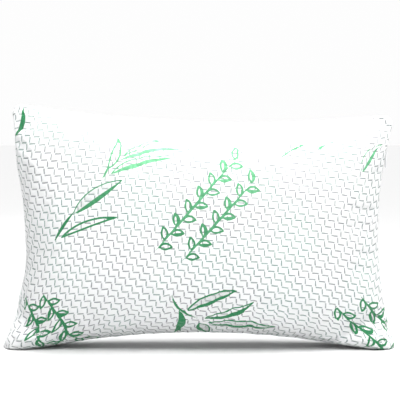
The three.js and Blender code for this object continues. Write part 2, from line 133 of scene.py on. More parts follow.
class ZipSizes(bpy.types.PropertyGroup):
    """The zip on the right short side."""

    half_length: length("Half length", "The zip's middle to the end of its coil", 0.150)
    slot_half_width: length("Slot half width", "The zip's middle to the cloth's fold", 0.0054)
    slot_end: length("Slot end", "How far the slot runs past the coil", 0.005)
    coil_near: length("Coil near", "The zip's middle to a row of coil", 0.0008)
    coil_width: length("Coil width", "One row of coil", 0.0022)
    coil_depth: length("Coil depth", "The pillow's edge to the coil's outer face", 0.0027)
    coil_thickness: length("Coil thickness", "Outer to inner face of the coil", 0.0022)
    coil_wire: length("Coil wire", "Radius of the coil's filament", 0.00034)
    coil_pitch: length("Coil pitch", "One turn of the coil", 0.00135)
    tape_depth: length("Tape depth", "The pillow's edge to the tape", 0.0052)
    tape_thickness: length("Tape thickness", "The woven tape", 0.0006)
    tape_width: length("Tape width", "From the coil's gap to the far edge", 0.011)
    tape_bend: length("Tape bend", "Where the tape turns in along the cover", 0.0049)
    tape_tail: length("Tape tail", "How far the tape runs past the coil", 0.009)
    stitch_pitch: length("Stitch pitch", "One stitch of the topstitching to the next", 0.0032)
    stitch_length: length("Stitch length", "What shows of one stitch", 0.0025)
    stitch_radius: length("Stitch radius", "Half the sewing thread's thickness", 0.00032)
    stitch_inset: length("Stitch inset", "The cloth's fold to the topstitching", 0.0034)
    white: colour("Zip white", "Nylon and lacquer", (0.83, 0.84, 0.85))


class InnerLook(bpy.types.PropertyGroup):
    """The inner pillow, its foam, and the overlocked seams."""

    liner_cell: length("Liner mesh cell", "Size of the mesh over the inner pillow", 0.006)
    seam_cell: length("Seam mesh cell", "Size of the mesh along a seam", 0.006)
    overlock_pitch: length("Overlock pitch", "One loop of the overlock thread", 0.0032)
    overlock_radius: length("Overlock thread", "Half the overlock thread's thickness", 0.00025)
    crumb: length("Foam crumb", "Size of one crumb of the loose foam", 0.012)
    crumb_depth: length("Crumb depth", "How deep the gaps between the crumbs are", 0.003)
    liner_white: colour("Liner white", "The inner pillow's cotton", (0.80, 0.79, 0.76))
    thread_white: colour("Thread white", "Sewing thread", (0.82, 0.82, 0.81))
    foam_cream: colour("Foam cream", "The crumbs of foam", (0.78, 0.71, 0.55))
    foam_pale: colour("Foam pale", "The lighter crumbs", (0.83, 0.80, 0.70))


class StageLook(bpy.types.PropertyGroup):
    """The camera, the lights and the floor."""

    lens: FloatProperty(name="Lens", description="Focal length", default=85.0, unit="CAMERA")
    distance: length("Distance", "The camera to the pillow's middle plane", 1.65)
    elevation: FloatProperty(name="Elevation", description="The camera's angle above the horizon",
                             default=math.radians(4.0), subtype="ANGLE")
    azimuth: FloatProperty(name="Azimuth", description="The camera's angle towards +X",
                           default=math.radians(0.0), subtype="ANGLE")
    aim: FloatVectorProperty(name="Aim", description="The point the camera looks at",
                             default=(0.002, 0.0, 0.258), size=3, subtype="XYZ")
    backdrop: number("Backdrop", "How bright the background shows", 0.985)
    sky: number("Sky", "Strength of the even light from all round", 0.14)
    overhead: number("Overhead", "Strength of the broad light overhead", 4.3)
    key: FloatProperty(name="Key", description="Power of the soft light above and to the right",
                       default=23.0, unit="POWER")
    fill: FloatProperty(name="Fill", description="Power of the wide light in front",
                        default=2.0, unit="POWER")
    floor: colour("Floor", "The pale floor", (0.685, 0.685, 0.685))


def sizes(context):
    return context.scene.pillow_shape


# ---- Shader arithmetic ----


def shade(tint, share):
    """A colour darkened to that share."""
    return tuple(c * share for c in tint)


class Signal:
    """A value that changes over a surface, which Python's arithmetic adds nodes to."""

    def __init__(self, finish, socket):
        self.finish = finish
        self.socket = socket

    def sums(self, operation, *values):
        return self.finish.node("ShaderNodeMath", {"operation": operation}, values)

    def __add__(self, other):
        return self.sums("ADD", self, other)

    __radd__ = __add__

    def __sub__(self, other):
        return self.sums("SUBTRACT", self, other)

    def __rsub__(self, other):
        return self.sums("SUBTRACT", other, self)

    def __mul__(self, other):
        return self.sums("MULTIPLY", self, other)

    __rmul__ = __mul__

    def __truediv__(self, other):
        return self.sums("DIVIDE", self, other)

    def __abs__(self):
        return self.sums("ABSOLUTE", self)

    def floor(self):
        return self.sums("FLOOR", self)

    def sin(self):
        return self.sums("SINE", self)

    def least(self, other):
        return self.sums("MINIMUM", self, other)

    def most(self, other):
        return self.sums("MAXIMUM", self, other)

    def step(self, low, high):
        """0 below low, 1 above high, and smooth between; low may be the larger."""
        flip = low > high
        low, high = min(low, high), max(low, high)
        ends = (1.0, 0.0) if flip else (0.0, 1.0)
        return self.finish.node("ShaderNodeMapRange", {"interpolation_type": "SMOOTHSTEP"},
                                (self, low, high, *ends))


# The colour mix node's sockets, by order: it has others for numbers and vectors.
MIX_FACTOR, MIX_FIRST, MIX_SECOND = 0, 6, 7
MIX_RESULT = 2


class Finish:
    """One procedural material and the nodes in it."""

    def __init__(self, name, roughness=0.8, **shader):
        self.material = bpy.data.materials.new(name)
        self.material.use_nodes = True
        self.tree = self.material.node_tree
        self.shader = self.tree.nodes["Principled BSDF"]
        self.shader.inputs["Roughness"].default_value = roughness
        for socket, value in shader.items():
            self.shader.inputs[socket.replace("_", " ")].default_value = value

    def put(self, socket, value):
        if isinstance(value, Signal):
            self.tree.links.new(value.socket, socket)
        elif socket.type == "RGBA":
            socket.default_value = (*value[:3], 1.0)
        else:
            socket.default_value = value

    def node(self, kind, settings=None, values=(), output=0):
        """Adds a node: its settings first, then its sockets by order or, in a dict, by name."""
        made = self.tree.nodes.new(kind)
        for setting, value in (settings or {}).items():
            setattr(made, setting, value)
        named = values.items() if isinstance(values, dict) else enumerate(values)
        for key, value in named:
            self.put(made.inputs[key], value)
        return Signal(self, made.outputs[output])

    def mix(self, factor, first, second):
        """Two colours mixed."""
        return self.node("ShaderNodeMix", {"data_type": "RGBA"},
                         {MIX_FACTOR: factor, MIX_FIRST: first, MIX_SECOND: second}, MIX_RESULT)

    def uv(self):
        """The piece's place on the cloth, whole and as its two numbers."""
        both = self.node("ShaderNodeUVMap", {"uv_map": "fabric"})
        return both, *(self.node("ShaderNodeSeparateXYZ", values=(both,), output=i) for i in (0, 1))

    def places(self):
        return self.node("ShaderNodeTexCoord", output=3)

    def attribute(self, name):
        return self.node("ShaderNodeAttribute", {"attribute_name": name}, output=2)

    def noise(self, vector, scale, detail=2.0):
        return self.node("ShaderNodeTexNoise", {"noise_dimensions": "3D"},
                         {"Vector": vector, "Scale": scale, "Detail": detail})

    def bump(self, height, depth, strength=1.0):
        """Height from 0 to 1 over a relief of that depth in metres."""
        normal = self.node("ShaderNodeBump", values={"Strength": strength, "Distance": depth,
                                                     "Height": height})
        self.put(self.shader.inputs["Normal"], normal)

    def colour(self, value):
        self.put(self.shader.inputs["Base Color"], value)

    def roughness(self, value):
        self.put(self.shader.inputs["Roughness"], value)


def crossed(u, v, along, across):
    """Threads that cross: waves of those lengths, in metres, over the cloth."""
    return (u * (2 * math.pi / along)).sin() * (v * (2 * math.pi / across)).sin()


# ---- The outline and the layers, as the frame was drawn ----


def unit(vector):
    return vector / np.linalg.norm(vector)


def angle_of(vector):
    return math.atan2(vector[1], vector[0]) % (2 * math.pi)


def arc_points(centre, radius, start, turn, count=400):
    angle = start + np.linspace(0, turn, count)
    return centre + radius * np.stack([np.cos(angle), np.sin(angle)], axis=1)


def read_by_length(points, share):
    """Where each share, from 0 to 1, of a line's length lies."""
    run = np.concatenate([[0], np.cumsum(np.linalg.norm(np.diff(points, axis=0), axis=1))])
    where = share * run[-1]
    return np.stack([np.interp(where, run, points[:, k]) for k in (0, 1)], axis=-1)


Arc = namedtuple("Arc", "centre radius")
Edge = namedtuple("Edge", "points arc start turn")


class Outline:
    """The four edges of a layer: round ears joined by arcs that curve inwards."""

    def __init__(self, shape, rim):
        self.shape = shape
        ear = shape.corner_radius
        low = ear - shape.foot_press
        self.ears = {
            "lower_left": np.array([-shape.lower_length / 2 + ear, low]),
            "lower_right": np.array([shape.lower_length / 2 - ear, low]),
            "upper_left": np.array([shape.upper_shift - shape.upper_length / 2 + ear,
                                    shape.left_height - ear]),
            "upper_right": np.array([shape.upper_shift + shape.upper_length / 2 - ear,
                                     shape.right_height - ear]),
        }
        arcs = {
            "bottom": self.dip("lower_left", "lower_right", (0, -1),
                               shape.bottom_rise + shape.foot_press),
            "right": self.dip("lower_right", "upper_right", (1, 0), shape.side_sag),
            "top": self.dip("upper_left", "upper_right", (0, 1), shape.top_sag),
            "left": self.dip("lower_left", "upper_left", (-1, 0), shape.side_sag),
        }
        corners = {name: self.corner(arcs, name, rim + ear) for name in self.ears}
        quarter = math.pi / 4
        self.bottom = self.edge(corners, "lower_left", "lower_right", arcs["bottom"], rim,
                                5 * quarter, 7 * quarter, False)
        self.right = self.edge(corners, "lower_right", "upper_right", arcs["right"], rim,
                               -quarter, quarter, False)
        self.top = self.edge(corners, "upper_left", "upper_right", arcs["top"], rim,
                             3 * quarter, quarter, True)
        self.left = self.edge(corners, "lower_left", "upper_left", arcs["left"], rim,
                              5 * quarter, 3 * quarter, True)

    def dip(self, start, end, outward, sag):
        """The arc that touches two ears and dips below the line over both."""
        a, b = self.ears[start], self.ears[end]
        half = np.linalg.norm(b - a) / 2
        reach = (half * half + sag * sag) / (2 * sag)
        along = unit(b - a)
        normal = np.array([-along[1], along[0]])
        normal = normal if normal @ np.array(outward) > 0 else -normal
        return Arc((a + b) / 2 + normal * (reach - sag), reach - self.shape.corner_radius)

    def corner(self, arcs, name, reach):
        """The centre of an ear that lies inside two of the arcs."""
        level, side = name.split("_")
        one, other = arcs["bottom" if level == "lower" else "top"], arcs[side]
        apart = np.linalg.norm(other.centre - one.centre)
        from_one, from_other = one.radius + reach, other.radius + reach
        along = (apart**2 + from_one**2 - from_other**2) / (2 * apart)
        off = math.sqrt(from_one**2 - along**2)
        towards = unit(other.centre - one.centre)
        foot = one.centre + towards * along
        normal = np.array([-towards[1], towards[0]])
        return min((foot + normal * off, foot - normal * off),
                   key=lambda p: np.linalg.norm(p - self.ears[name]))

    def edge(self, corners, start, end, arc, rim, first, last, clockwise):
        a, b = corners[start], corners[end]
        ear = self.shape.corner_radius
        leave, arrive = angle_of(arc.centre - a), angle_of(arc.centre - b)

        def sweep(begin, finish):
            turn = (finish - begin) % (2 * math.pi)
            return turn - 2 * math.pi if clockwise else turn

        side_start = leave + math.pi
        side_turn = (arrive - leave + math.pi) % (2 * math.pi) - math.pi
        points = np.concatenate([
            arc_points(a, ear, first, sweep(first, leave)),
            arc_points(arc.centre, arc.radius + rim, side_start, side_turn)[1:],
            arc_points(b, ear, arrive, sweep(arrive, last))[1:],
        ])
        return Edge(points, Arc(arc.centre, arc.radius + rim), side_start, side_turn)


class Layer:
    """A closed pillow surface. place() takes shares from -1 to 1 of the length and the height."""

    def __init__(self, shape, rim=0.0, under=0.0, half_edge=None):
        self.shape = shape
        self.under = under
        self.half_edge = shape.seam_gap / 2 if half_edge is None else half_edge
        self.fullest = shape.thickness / 2 - under - self.half_edge
        self.outline = Outline(shape, rim)

    def place(self, s, t, side):
        a, b = ((s + 1) / 2)[..., None], ((t + 1) / 2)[..., None]
        line = self.outline
        at = {name: read_by_length(getattr(line, name).points, share)
              for name, share in (("bottom", a[..., 0]), ("top", a[..., 0]),
                                  ("left", b[..., 0]), ("right", b[..., 0]))}
        flat = at["bottom"] * (1 - b) + at["top"] * b + at["left"] * (1 - a) + at["right"] * a
        flat -= line.bottom.points[0] * (1 - a) * (1 - b) + line.bottom.points[-1] * a * (1 - b)
        flat -= line.top.points[0] * (1 - a) * b + line.top.points[-1] * a * b
        y = self.half_edge + self.fullest * self.bulge(s, t) * self.foot_bulge(s, flat[..., 1])
        return np.stack([flat[..., 0], side * y, np.maximum(flat[..., 1], self.under)], axis=-1)

    def bulge(self, s, t):
        over_length = np.maximum(0, 1 - np.abs(s) ** self.shape.length_fullness)
        over_height = np.maximum(0, 1 - np.abs(t) ** self.shape.height_fullness)
        return (over_length * over_height) ** self.shape.edge_roundness

    def foot_bulge(self, s, height):
        nearness = np.exp(-((np.maximum(height, 0) / self.shape.foot_height) ** 2))
        return 1 + self.shape.foot_spread * np.abs(s) ** self.shape.foot_focus * nearness

    def even_lines(self, count, along_length):
        """Shares whose lines lie evenly over the middle of the face, from seam to seam."""
        fine = np.sin(np.linspace(-1, 1, 4001) * math.pi / 2)
        middle = np.zeros_like(fine)
        s, t = (fine, middle) if along_length else (middle, fine)
        steps = np.linalg.norm(np.diff(self.place(s, t, FRONT), axis=0), axis=1)
        run = np.concatenate([[0], np.cumsum(steps)])
        return np.interp(np.linspace(0, run[-1], count + 1), run, fine)

    def even_grid(self, columns, rows):
        """The shares s and t at each point of an even grid."""
        return np.meshgrid(self.even_lines(columns, True), self.even_lines(rows, False))


class ZipLine:
    """The zip's own path: up the right side's arc, with places given along, across and in depth."""

    def __init__(self, shape):
        edge = Outline(shape, 0.0).right
        self.centre, self.radius = edge.arc
        self.middle = edge.start + edge.turn / 2

    def along(self, points):
        """How far up the zip, from its middle, points in the XZ plane lie."""
        angle = np.arctan2(points[..., 1] - self.centre[1], points[..., 0] - self.centre[0])
        return (self.middle - angle % (2 * math.pi)) * self.radius

    def place(self, along, across, depth):
        along, across, depth = np.broadcast_arrays(*map(np.asarray, (along, across, depth)))
        angle = self.middle - along / self.radius
        reach = self.radius + depth
        return np.stack([self.centre[0] + reach * np.cos(angle), across,
                         self.centre[1] + reach * np.sin(angle)], axis=-1)


# ---- The knit's stair pattern and its prints ----

STEP_ACROSS = (3.0, -0.42)  # from one flat dash to the next along the row, in knit units
STEP_UP = (1.0, 1.9)  # and to the next row
UPRIGHT_AT = 2.0  # an upright dash stands this far along from the start of its flat dash
UPRIGHT_MIDDLE = -(STEP_UP[1] - STEP_ACROSS[1]) / 2


def dash_boxes(knit):
    """The flat and the upright dash of one lattice point: middle and half size, in knit units."""
    return (((UPRIGHT_AT / 2, 0.0), (knit.dash / 2, 0.0)),
            ((UPRIGHT_AT, UPRIGHT_MIDDLE), (0.0, knit.rise / 2)))


def dash_distance(p, q, knit):
    """Distance from places in knit units to the nearest dash."""
    skew = STEP_ACROSS[1] / STEP_ACROSS[0]
    up = np.floor((q - skew * p) / (STEP_UP[1] - skew * STEP_UP[0]))
    along = np.floor((p - up * STEP_UP[0]) / STEP_ACROSS[0])
    nearest = np.full(p.shape, np.inf)
    for i in (-1, 0, 1):
        for j in (-1, 0, 1, 2):
            x = p - (along + i) * STEP_ACROSS[0] - (up + j) * STEP_UP[0]
            y = q - (along + i) * STEP_ACROSS[1] - (up + j) * STEP_UP[1]
            for (cx, cy), (hx, hy) in dash_boxes(knit):
                away = np.hypot(np.maximum(abs(x - cx) - hx, 0), np.maximum(abs(y - cy) - hy, 0))
                nearest = np.minimum(nearest, away)
    return nearest


# A printed leaf on the cut cloth, in millimetres from the panel's middle. The bend bows it to its
# left, stroke is its outline's width, fill says what is inside, and ink runs from 0 deep to 1 mint.
# The mint end of ink is a painted highlight: leaves higher on the front get more of it.
Leaf = namedtuple("Leaf", "base tip half_width bend stroke fill ink")

# Ink rises on the leaves higher up the front: a painted highlight where the top is brightly lit.
TALL_SPRIG = (
    Leaf((-265, -9), (-226, 38), 3.0, 0.02, 0, "full", 0.0),
    Leaf((-228, 34), (-138, 90), 12.0, 0.04, 2.2, "hatched", 0.15),
    Leaf((-252, -5), (-143, 26), 7.0, 0.05, 3.4, "open", 0.05),
    Leaf((-176, 92), (-164, 118), 2.0, -0.06, 0, "full", 0.5),
    Leaf((-166, 109), (-152, 168), 9.0, -0.12, 3.2, "open", 0.6),
    Leaf((-160, 100), (-53, 129), 8.5, 0.08, 2.4, "half", 0.7),
    Leaf((-147, 122), (-33, 146), 3.4, 0.08, 0, "full", 0.95),
    Leaf((-139, 131), (-68, 166), 4.6, 0.08, 2.2, "open", 0.7),
)
LOW_SPRIG = (
    Leaf((-46, -113), (2, -168), 2.4, -0.14, 0, "full", 0.0),
    Leaf((-19, -148), (70, -105), 10.0, 0.05, 3.2, "hatched", 0.0),
    Leaf((8, -167), (99, -127), 8.5, -0.06, 2.6, "half", 0.0),
    Leaf((15, -181), (131, -187), 11.0, 0.02, 3.4, "hatched", 0.0),
    Leaf((2, -180), (20, -220), 11.0, -0.04, 3.2, "hatched", 0.0),
    Leaf((-35, -148), (-45, -218), 6.5, 0.16, 0, "full", 0.0),
    Leaf((-22, -168), (-31, -216), 4.6, -0.12, 0, "full", 0.0),
)
CORNER_LEAVES = (
    Leaf((-346, 170), (-334, 222), 5.0, -0.12, 0, "full", 0.0),
    Leaf((146, 138), (186, 160), 4.0, 0.12, 1.4, "half", 0.6),
    Leaf((206, 152), (222, 163), 2.2, 0.0, 0, "full", 0.5),
    Leaf((296, 118), (334, 168), 9.0, 0.10, 1.8, "hatched", 0.5),
)
# A twig of small leaves: where its stem starts and ends, how many leaves, and its ink at each end.
Twig = namedtuple("Twig", "start end count ink")
# Ink towards mint at a twig's upper end is a painted highlight.
TWIGS = (
    Twig((-78, -34), (66, 134), 7, (0.0, 0.75)),
    Twig((-30, -52), (96, 92), 6, (0.0, 0.6)),
    Twig((-330, -96), (-238, -226), 5, (0.0, 0.0)),
    Twig((-288, -92), (-196, -216), 5, (0.0, 0.0)),
    Twig((240, -118), (346, -226), 5, (0.0, 0.0)),
    Twig((290, -92), (352, -158), 3, (0.05, 0.0)),
)
BACK_TWIGS = (
    Twig((-60, -20), (66, 134), 6, (0.0, 0.3)),
    Twig((-8, -30), (96, 92), 5, (0.0, 0.3)),
    Twig((-345, 20), (-290, 120), 4, (0.0, 0.1)),
)
TWIG_LEAF = 27.0
TWIG_LEAF_HALF_WIDTH = 7.0
TWIG_LEAF_ANGLE = math.radians(48)
TWIG_STROKE = 3.8
TWIG_STEM = 2.2


def twig_leaves(twig):
    """Outlined leaves that stand out from both sides of a thin stem in turn."""
    start, end = np.array(twig.start, float), np.array(twig.end, float)
    along = unit(end - start)
    across = np.array([-along[1], along[0]])
    yield Leaf(twig.start, twig.end, TWIG_STEM, 0.0, 0, "full", sum(twig.ink) / 2)
    for i in range(2 * twig.count):
        share = (i + 0.5) / (2 * twig.count)
        side = 1 if i % 2 else -1
        root = start + (end - start) * share
        out = along * math.cos(TWIG_LEAF_ANGLE) + side * across * math.sin(TWIG_LEAF_ANGLE)
        ink = twig.ink[0] + (twig.ink[1] - twig.ink[0]) * share
        fill = "open" if i % 4 < 2 else "half"
        yield Leaf(tuple(root + out * 2.0), tuple(root + out * TWIG_LEAF),
                   TWIG_LEAF_HALF_WIDTH, -0.10 * side, TWIG_STROKE, fill, ink)


def front_print():
    """Every printed leaf of the front panel."""
    yield from TALL_SPRIG
    yield from LOW_SPRIG
    yield from CORNER_LEAVES
    for twig in TWIGS:
        yield from twig_leaves(twig)


def moved_leaf(leaf, shift, turn):
    """A leaf turned about the panel's middle and shifted."""
    c, s = math.cos(turn), math.sin(turn)

    def at(p):
        return (c * p[0] - s * p[1] + shift[0], s * p[0] + c * p[1] + shift[1])

    return leaf._replace(base=at(leaf.base), tip=at(leaf.tip))


def back_print():
    """The same cloth cut elsewhere: the sprigs and twigs lie at other places on the back."""
    # The back gets mostly deep ink: less of the painted highlight than the front.
    for leaf in TALL_SPRIG:
        yield moved_leaf(leaf, (330, -40), 0.0)._replace(ink=0.0)
    for leaf in LOW_SPRIG:
        yield moved_leaf(leaf, (-190, 250), 0.12)._replace(ink=0.1)
        yield moved_leaf(leaf, (230, 20), 0.0)
    for leaf in TALL_SPRIG:
        yield moved_leaf(leaf, (-70, -120), -0.15)._replace(ink=0.0)
    for twig in BACK_TWIGS:
        yield from twig_leaves(twig)


LEAF_SAMPLES = 40
PRINT_REACH = 12 * MM  # beyond this the distance to a print no longer matters


def leaf_frame(leaf, u, v):
    """For places in millimetres: the share along a leaf, the signed distance across, its length."""
    base, tip = np.array(leaf.base, float), np.array(leaf.tip, float)
    span = tip - base
    size = np.linalg.norm(span)
    left = np.array([-span[1], span[0]]) / size
    control = (base + tip) / 2 + left * leaf.bend * 2 * size
    share = np.linspace(0, 1, LEAF_SAMPLES)[:, None]
    line = (1 - share) ** 2 * base + 2 * share * (1 - share) * control + share**2 * tip
    heading = 2 * (1 - share) * (control - base) + 2 * share * (tip - control)
    heading /= np.linalg.norm(heading, axis=1)[:, None]
    du, dv = u[:, None] - line[:, 0], v[:, None] - line[:, 1]
    nearest = np.argmin(du * du + dv * dv, axis=1)
    rows = np.arange(len(u))
    du, dv = du[rows, nearest], dv[rows, nearest]
    heading = heading[nearest]
    beyond = du * heading[:, 0] + dv * heading[:, 1]
    along = share[nearest, 0] + beyond / size
    across = dv * heading[:, 0] - du * heading[:, 1]
    return along, across, size


def leaf_ink(leaf, u, v):
    """Signed distances in millimetres to a leaf's inked and hatched areas, negative inside."""
    along, across, size = leaf_frame(leaf, u, v)
    inside = np.clip(along, 0, 1)
    width = leaf.half_width * np.sin(math.pi * inside**0.85) ** 0.8
    past = np.maximum(np.abs(along - 0.5) - 0.5, 0) * size
    edge = np.hypot(np.maximum(np.abs(across) - width, 0), past)
    edge = np.where(edge > 0, edge, np.abs(across) - width)
    none = np.full(edge.shape, PRINT_REACH / MM)
    if leaf.fill == "full":
        return edge, none
    outline = np.abs(edge + leaf.stroke / 2) - leaf.stroke / 2
    ink = np.where(edge > 0, edge, outline)
    if leaf.fill == "open":
        return ink, none
    band = 0.35 if leaf.fill == "hatched" else 0.05
    solid = np.maximum(edge, across + band * width)
    ink = np.minimum(ink, solid)
    return (ink, edge) if leaf.fill == "hatched" else (ink, none)


def printed(u, v, leaves):
    """The print over a panel: distance to ink, distance to hatching, and the ink's lightness."""
    ink = np.full(u.shape, PRINT_REACH)
    hatch = np.full(u.shape, PRINT_REACH)
    tone = np.zeros(u.shape)
    for leaf in leaves:
        middle = (np.array(leaf.base) + leaf.tip) / 2 * MM
        reach = np.linalg.norm(np.subtract(leaf.tip, leaf.base)) / 2 * MM + PRINT_REACH
        reach += (abs(leaf.bend) * 60 + leaf.half_width) * MM
        near = np.hypot(u - middle[0], v - middle[1]) < reach
        if not near.any():
            continue
        inked, hatched = leaf_ink(leaf, u[near] / MM, v[near] / MM)
        inked = inked * MM
        closer = inked < ink[near]
        # The ink's lightness, mint on the upper front leaves, is a painted highlight.
        tone[near] = np.where(closer, leaf.ink, tone[near])
        ink[near] = np.minimum(ink[near], inked)
        hatch[near] = np.minimum(hatch[near], hatched * MM)
    return ink, hatch, tone


# ---- Padded cloth panels ----


def fabric_places(points, shape):
    """Where each point of a panel's grid lies on the cut cloth, from its middle."""
    along = np.cumsum(np.linalg.norm(np.diff(points, axis=1), axis=2), axis=1)
    along = np.pad(along, ((0, 0), (1, 0)))
    up = np.cumsum(np.linalg.norm(np.diff(points, axis=0), axis=2), axis=0)
    up = np.pad(up, ((1, 0), (0, 0)))
    u = (along / along[:, -1:] - 0.5) * shape.flat_width
    v = (up / up[-1:] - 0.5) * shape.flat_height
    return u, v


def one_long(vectors):
    """Vectors scaled to length one; those with no length stay at zero."""
    return vectors / np.maximum(np.linalg.norm(vectors, axis=-1, keepdims=True), 1e-12)


def grid_normals(points, side):
    """Unit normals of a panel's grid that point out of the pillow."""
    across, up = np.gradient(points, axis=1), np.gradient(points, axis=0)
    return one_long(np.cross(across, up) * -side)


def smooth_step(value, low, high):
    share = np.clip((value - low) / (high - low), 0, 1)
    return share * share * (3 - 2 * share)


def grid_index(rows, columns):
    """The vertex numbers of a grid with that many cells."""
    return np.arange((rows + 1) * (columns + 1)).reshape(rows + 1, columns + 1)


def grid_quads(index, turned=False):
    """The faces of a grid of vertex numbers, each the other way round when turned."""
    corners = [index[:-1, :-1], index[:-1, 1:], index[1:, 1:], index[1:, :-1]]
    if turned:
        corners = [corners[k] for k in (0, 3, 2, 1)]
    return np.stack(corners, axis=-1).reshape(-1, 4)


def loop_of(rows, columns):
    """The row and column of each point on a grid's border: bottom, right, top, then left."""
    bottom = [(0, j) for j in range(columns)]
    right = [(i, columns) for i in range(rows)]
    top = [(rows, j) for j in range(columns, 0, -1)]
    left = [(i, 0) for i in range(rows, 0, -1)]
    return np.array(bottom + right + top + left)


COARSE_STEP = 6  # the panel's inner wall has one cell for this many of its face's
RIM_TURNS = (45, 90, 135, 180)


def cloth_mesh(name, points, normals, side, cloth, uv):
    """A closed cloth panel: a fine outer face, a rolled edge and a coarser inner wall."""
    rows, columns = points.shape[0] - 1, points.shape[1] - 1
    index = grid_index(rows, columns)
    vertices = [points.reshape(-1, 3)]
    places = [uv.reshape(-1, 2)]
    faces = grid_quads(index).tolist()
    loop = loop_of(rows, columns)
    border = points[loop[:, 0], loop[:, 1]]
    inner = np.clip(loop, 1, [rows - 1, columns - 1])
    outward = one_long(border - points[inner[:, 0], inner[:, 1]])
    inward = -normals[loop[:, 0], loop[:, 1]]
    inward = one_long(inward - outward * np.sum(inward * outward, axis=1)[:, None])
    count = len(loop)
    ring = index[loop[:, 0], loop[:, 1]]
    after = len(points.reshape(-1, 3))
    for turn in RIM_TURNS:
        a = math.radians(turn)
        vertices.append(border + cloth / 2 * (inward * (1 - math.cos(a)) + outward * math.sin(a)))
        places.append(uv[loop[:, 0], loop[:, 1]])
        following = np.arange(after, after + count)
        pairs = np.stack([np.roll(ring, -1), ring, following, np.roll(following, -1)], axis=-1)
        faces += pairs.tolist()
        ring = following
        after += count
    picked_rows = np.arange(0, rows + 1, COARSE_STEP)
    picked_columns = np.arange(0, columns + 1, COARSE_STEP)
    picked = np.ix_(picked_rows, picked_columns)
    coarse = points[picked] - cloth * normals[picked]
    coarse_loop = loop_of(len(picked_rows) - 1, len(picked_columns) - 1)
    shifted = (vertices[-1] + cloth * (inward - outward) / 2)[::COARSE_STEP]
    coarse[coarse_loop[:, 0], coarse_loop[:, 1]] = shifted
    inside = after + np.arange(coarse[..., 0].size).reshape(coarse.shape[:2])
    vertices.append(coarse.reshape(-1, 3))
    places.append(uv[picked].reshape(-1, 2))
    faces += grid_quads(inside, turned=True).tolist()
    wall = inside[coarse_loop[:, 0], coarse_loop[:, 1]]
    for i in range(len(wall)):
        fine = [ring[(i * COARSE_STEP + k) % count] for k in range(COARSE_STEP, -1, -1)]
        faces.append([*map(int, fine), int(wall[i]), int(wall[(i + 1) % len(wall)])])
    if side == BACK:
        faces = [face[::-1] for face in faces]
    mesh = bpy.data.meshes.new(name)
    mesh.from_pydata(np.concatenate(vertices), [], faces)
    lay_map(mesh, np.concatenate(places))
    return mesh


def corner_vertices(mesh):
    """The vertex at each corner of each face."""
    corner = np.empty(len(mesh.loops), np.int32)
    mesh.loops.foreach_get("vertex_index", corner)
    return corner


def lay_map(mesh, places):
    """Gives a mesh its fabric map from one place per vertex."""
    layer = mesh.uv_layers.new(name="fabric")
    layer.data.foreach_set("uv", places[corner_vertices(mesh)].astype(np.float32).ravel())


def paint(mesh, name, values):
    """Stores one number per vertex."""
    attribute = mesh.attributes.new(name, "FLOAT", "POINT")
    attribute.data.foreach_set("value", values.astype(np.float32))


def shown(mesh, material):
    """Links a mesh as an object at the origin, with its material."""
    piece = bpy.data.objects.new(mesh.name, mesh)
    bpy.context.scene.collection.objects.link(piece)
    mesh.materials.append(material)
    mesh.polygons.foreach_set("use_smooth", [True] * len(mesh.polygons))
    mesh.update()
    return piece


def cells_over(shape, cell):
    """How many columns and rows of cells, in whole coarse steps, cover the cut cloth."""
    return tuple(COARSE_STEP * max(1, round(size / cell / COARSE_STEP))
                 for size in (shape.flat_width, shape.flat_height))


# ---- Simulated folds ----

FOLD_COLUMNS, FOLD_ROWS = 132, 84
FOLD_FRAMES = 20
FOLD_GROWTH = -0.045  # the cloth is cut this much larger than the full shape, so it puckers
FOLD_PRESSURE = 4.0
FOLD_CAP = 0.0065
FOLD_EVEN_OUT = 9  # folds broader than this many cells are taken out, as the frame holds the shape


def blurred(field, passes):
    """A grid of vectors averaged with its neighbours, again and again."""
    for _ in range(passes):
        padded = np.pad(field, ((1, 1), (1, 1), (0, 0)), mode="edge")
        field = (padded[:-2, 1:-1] + padded[2:, 1:-1] + padded[1:-1, :-2] + padded[1:-1, 2:]
                 + 2 * field) / 6
    return field


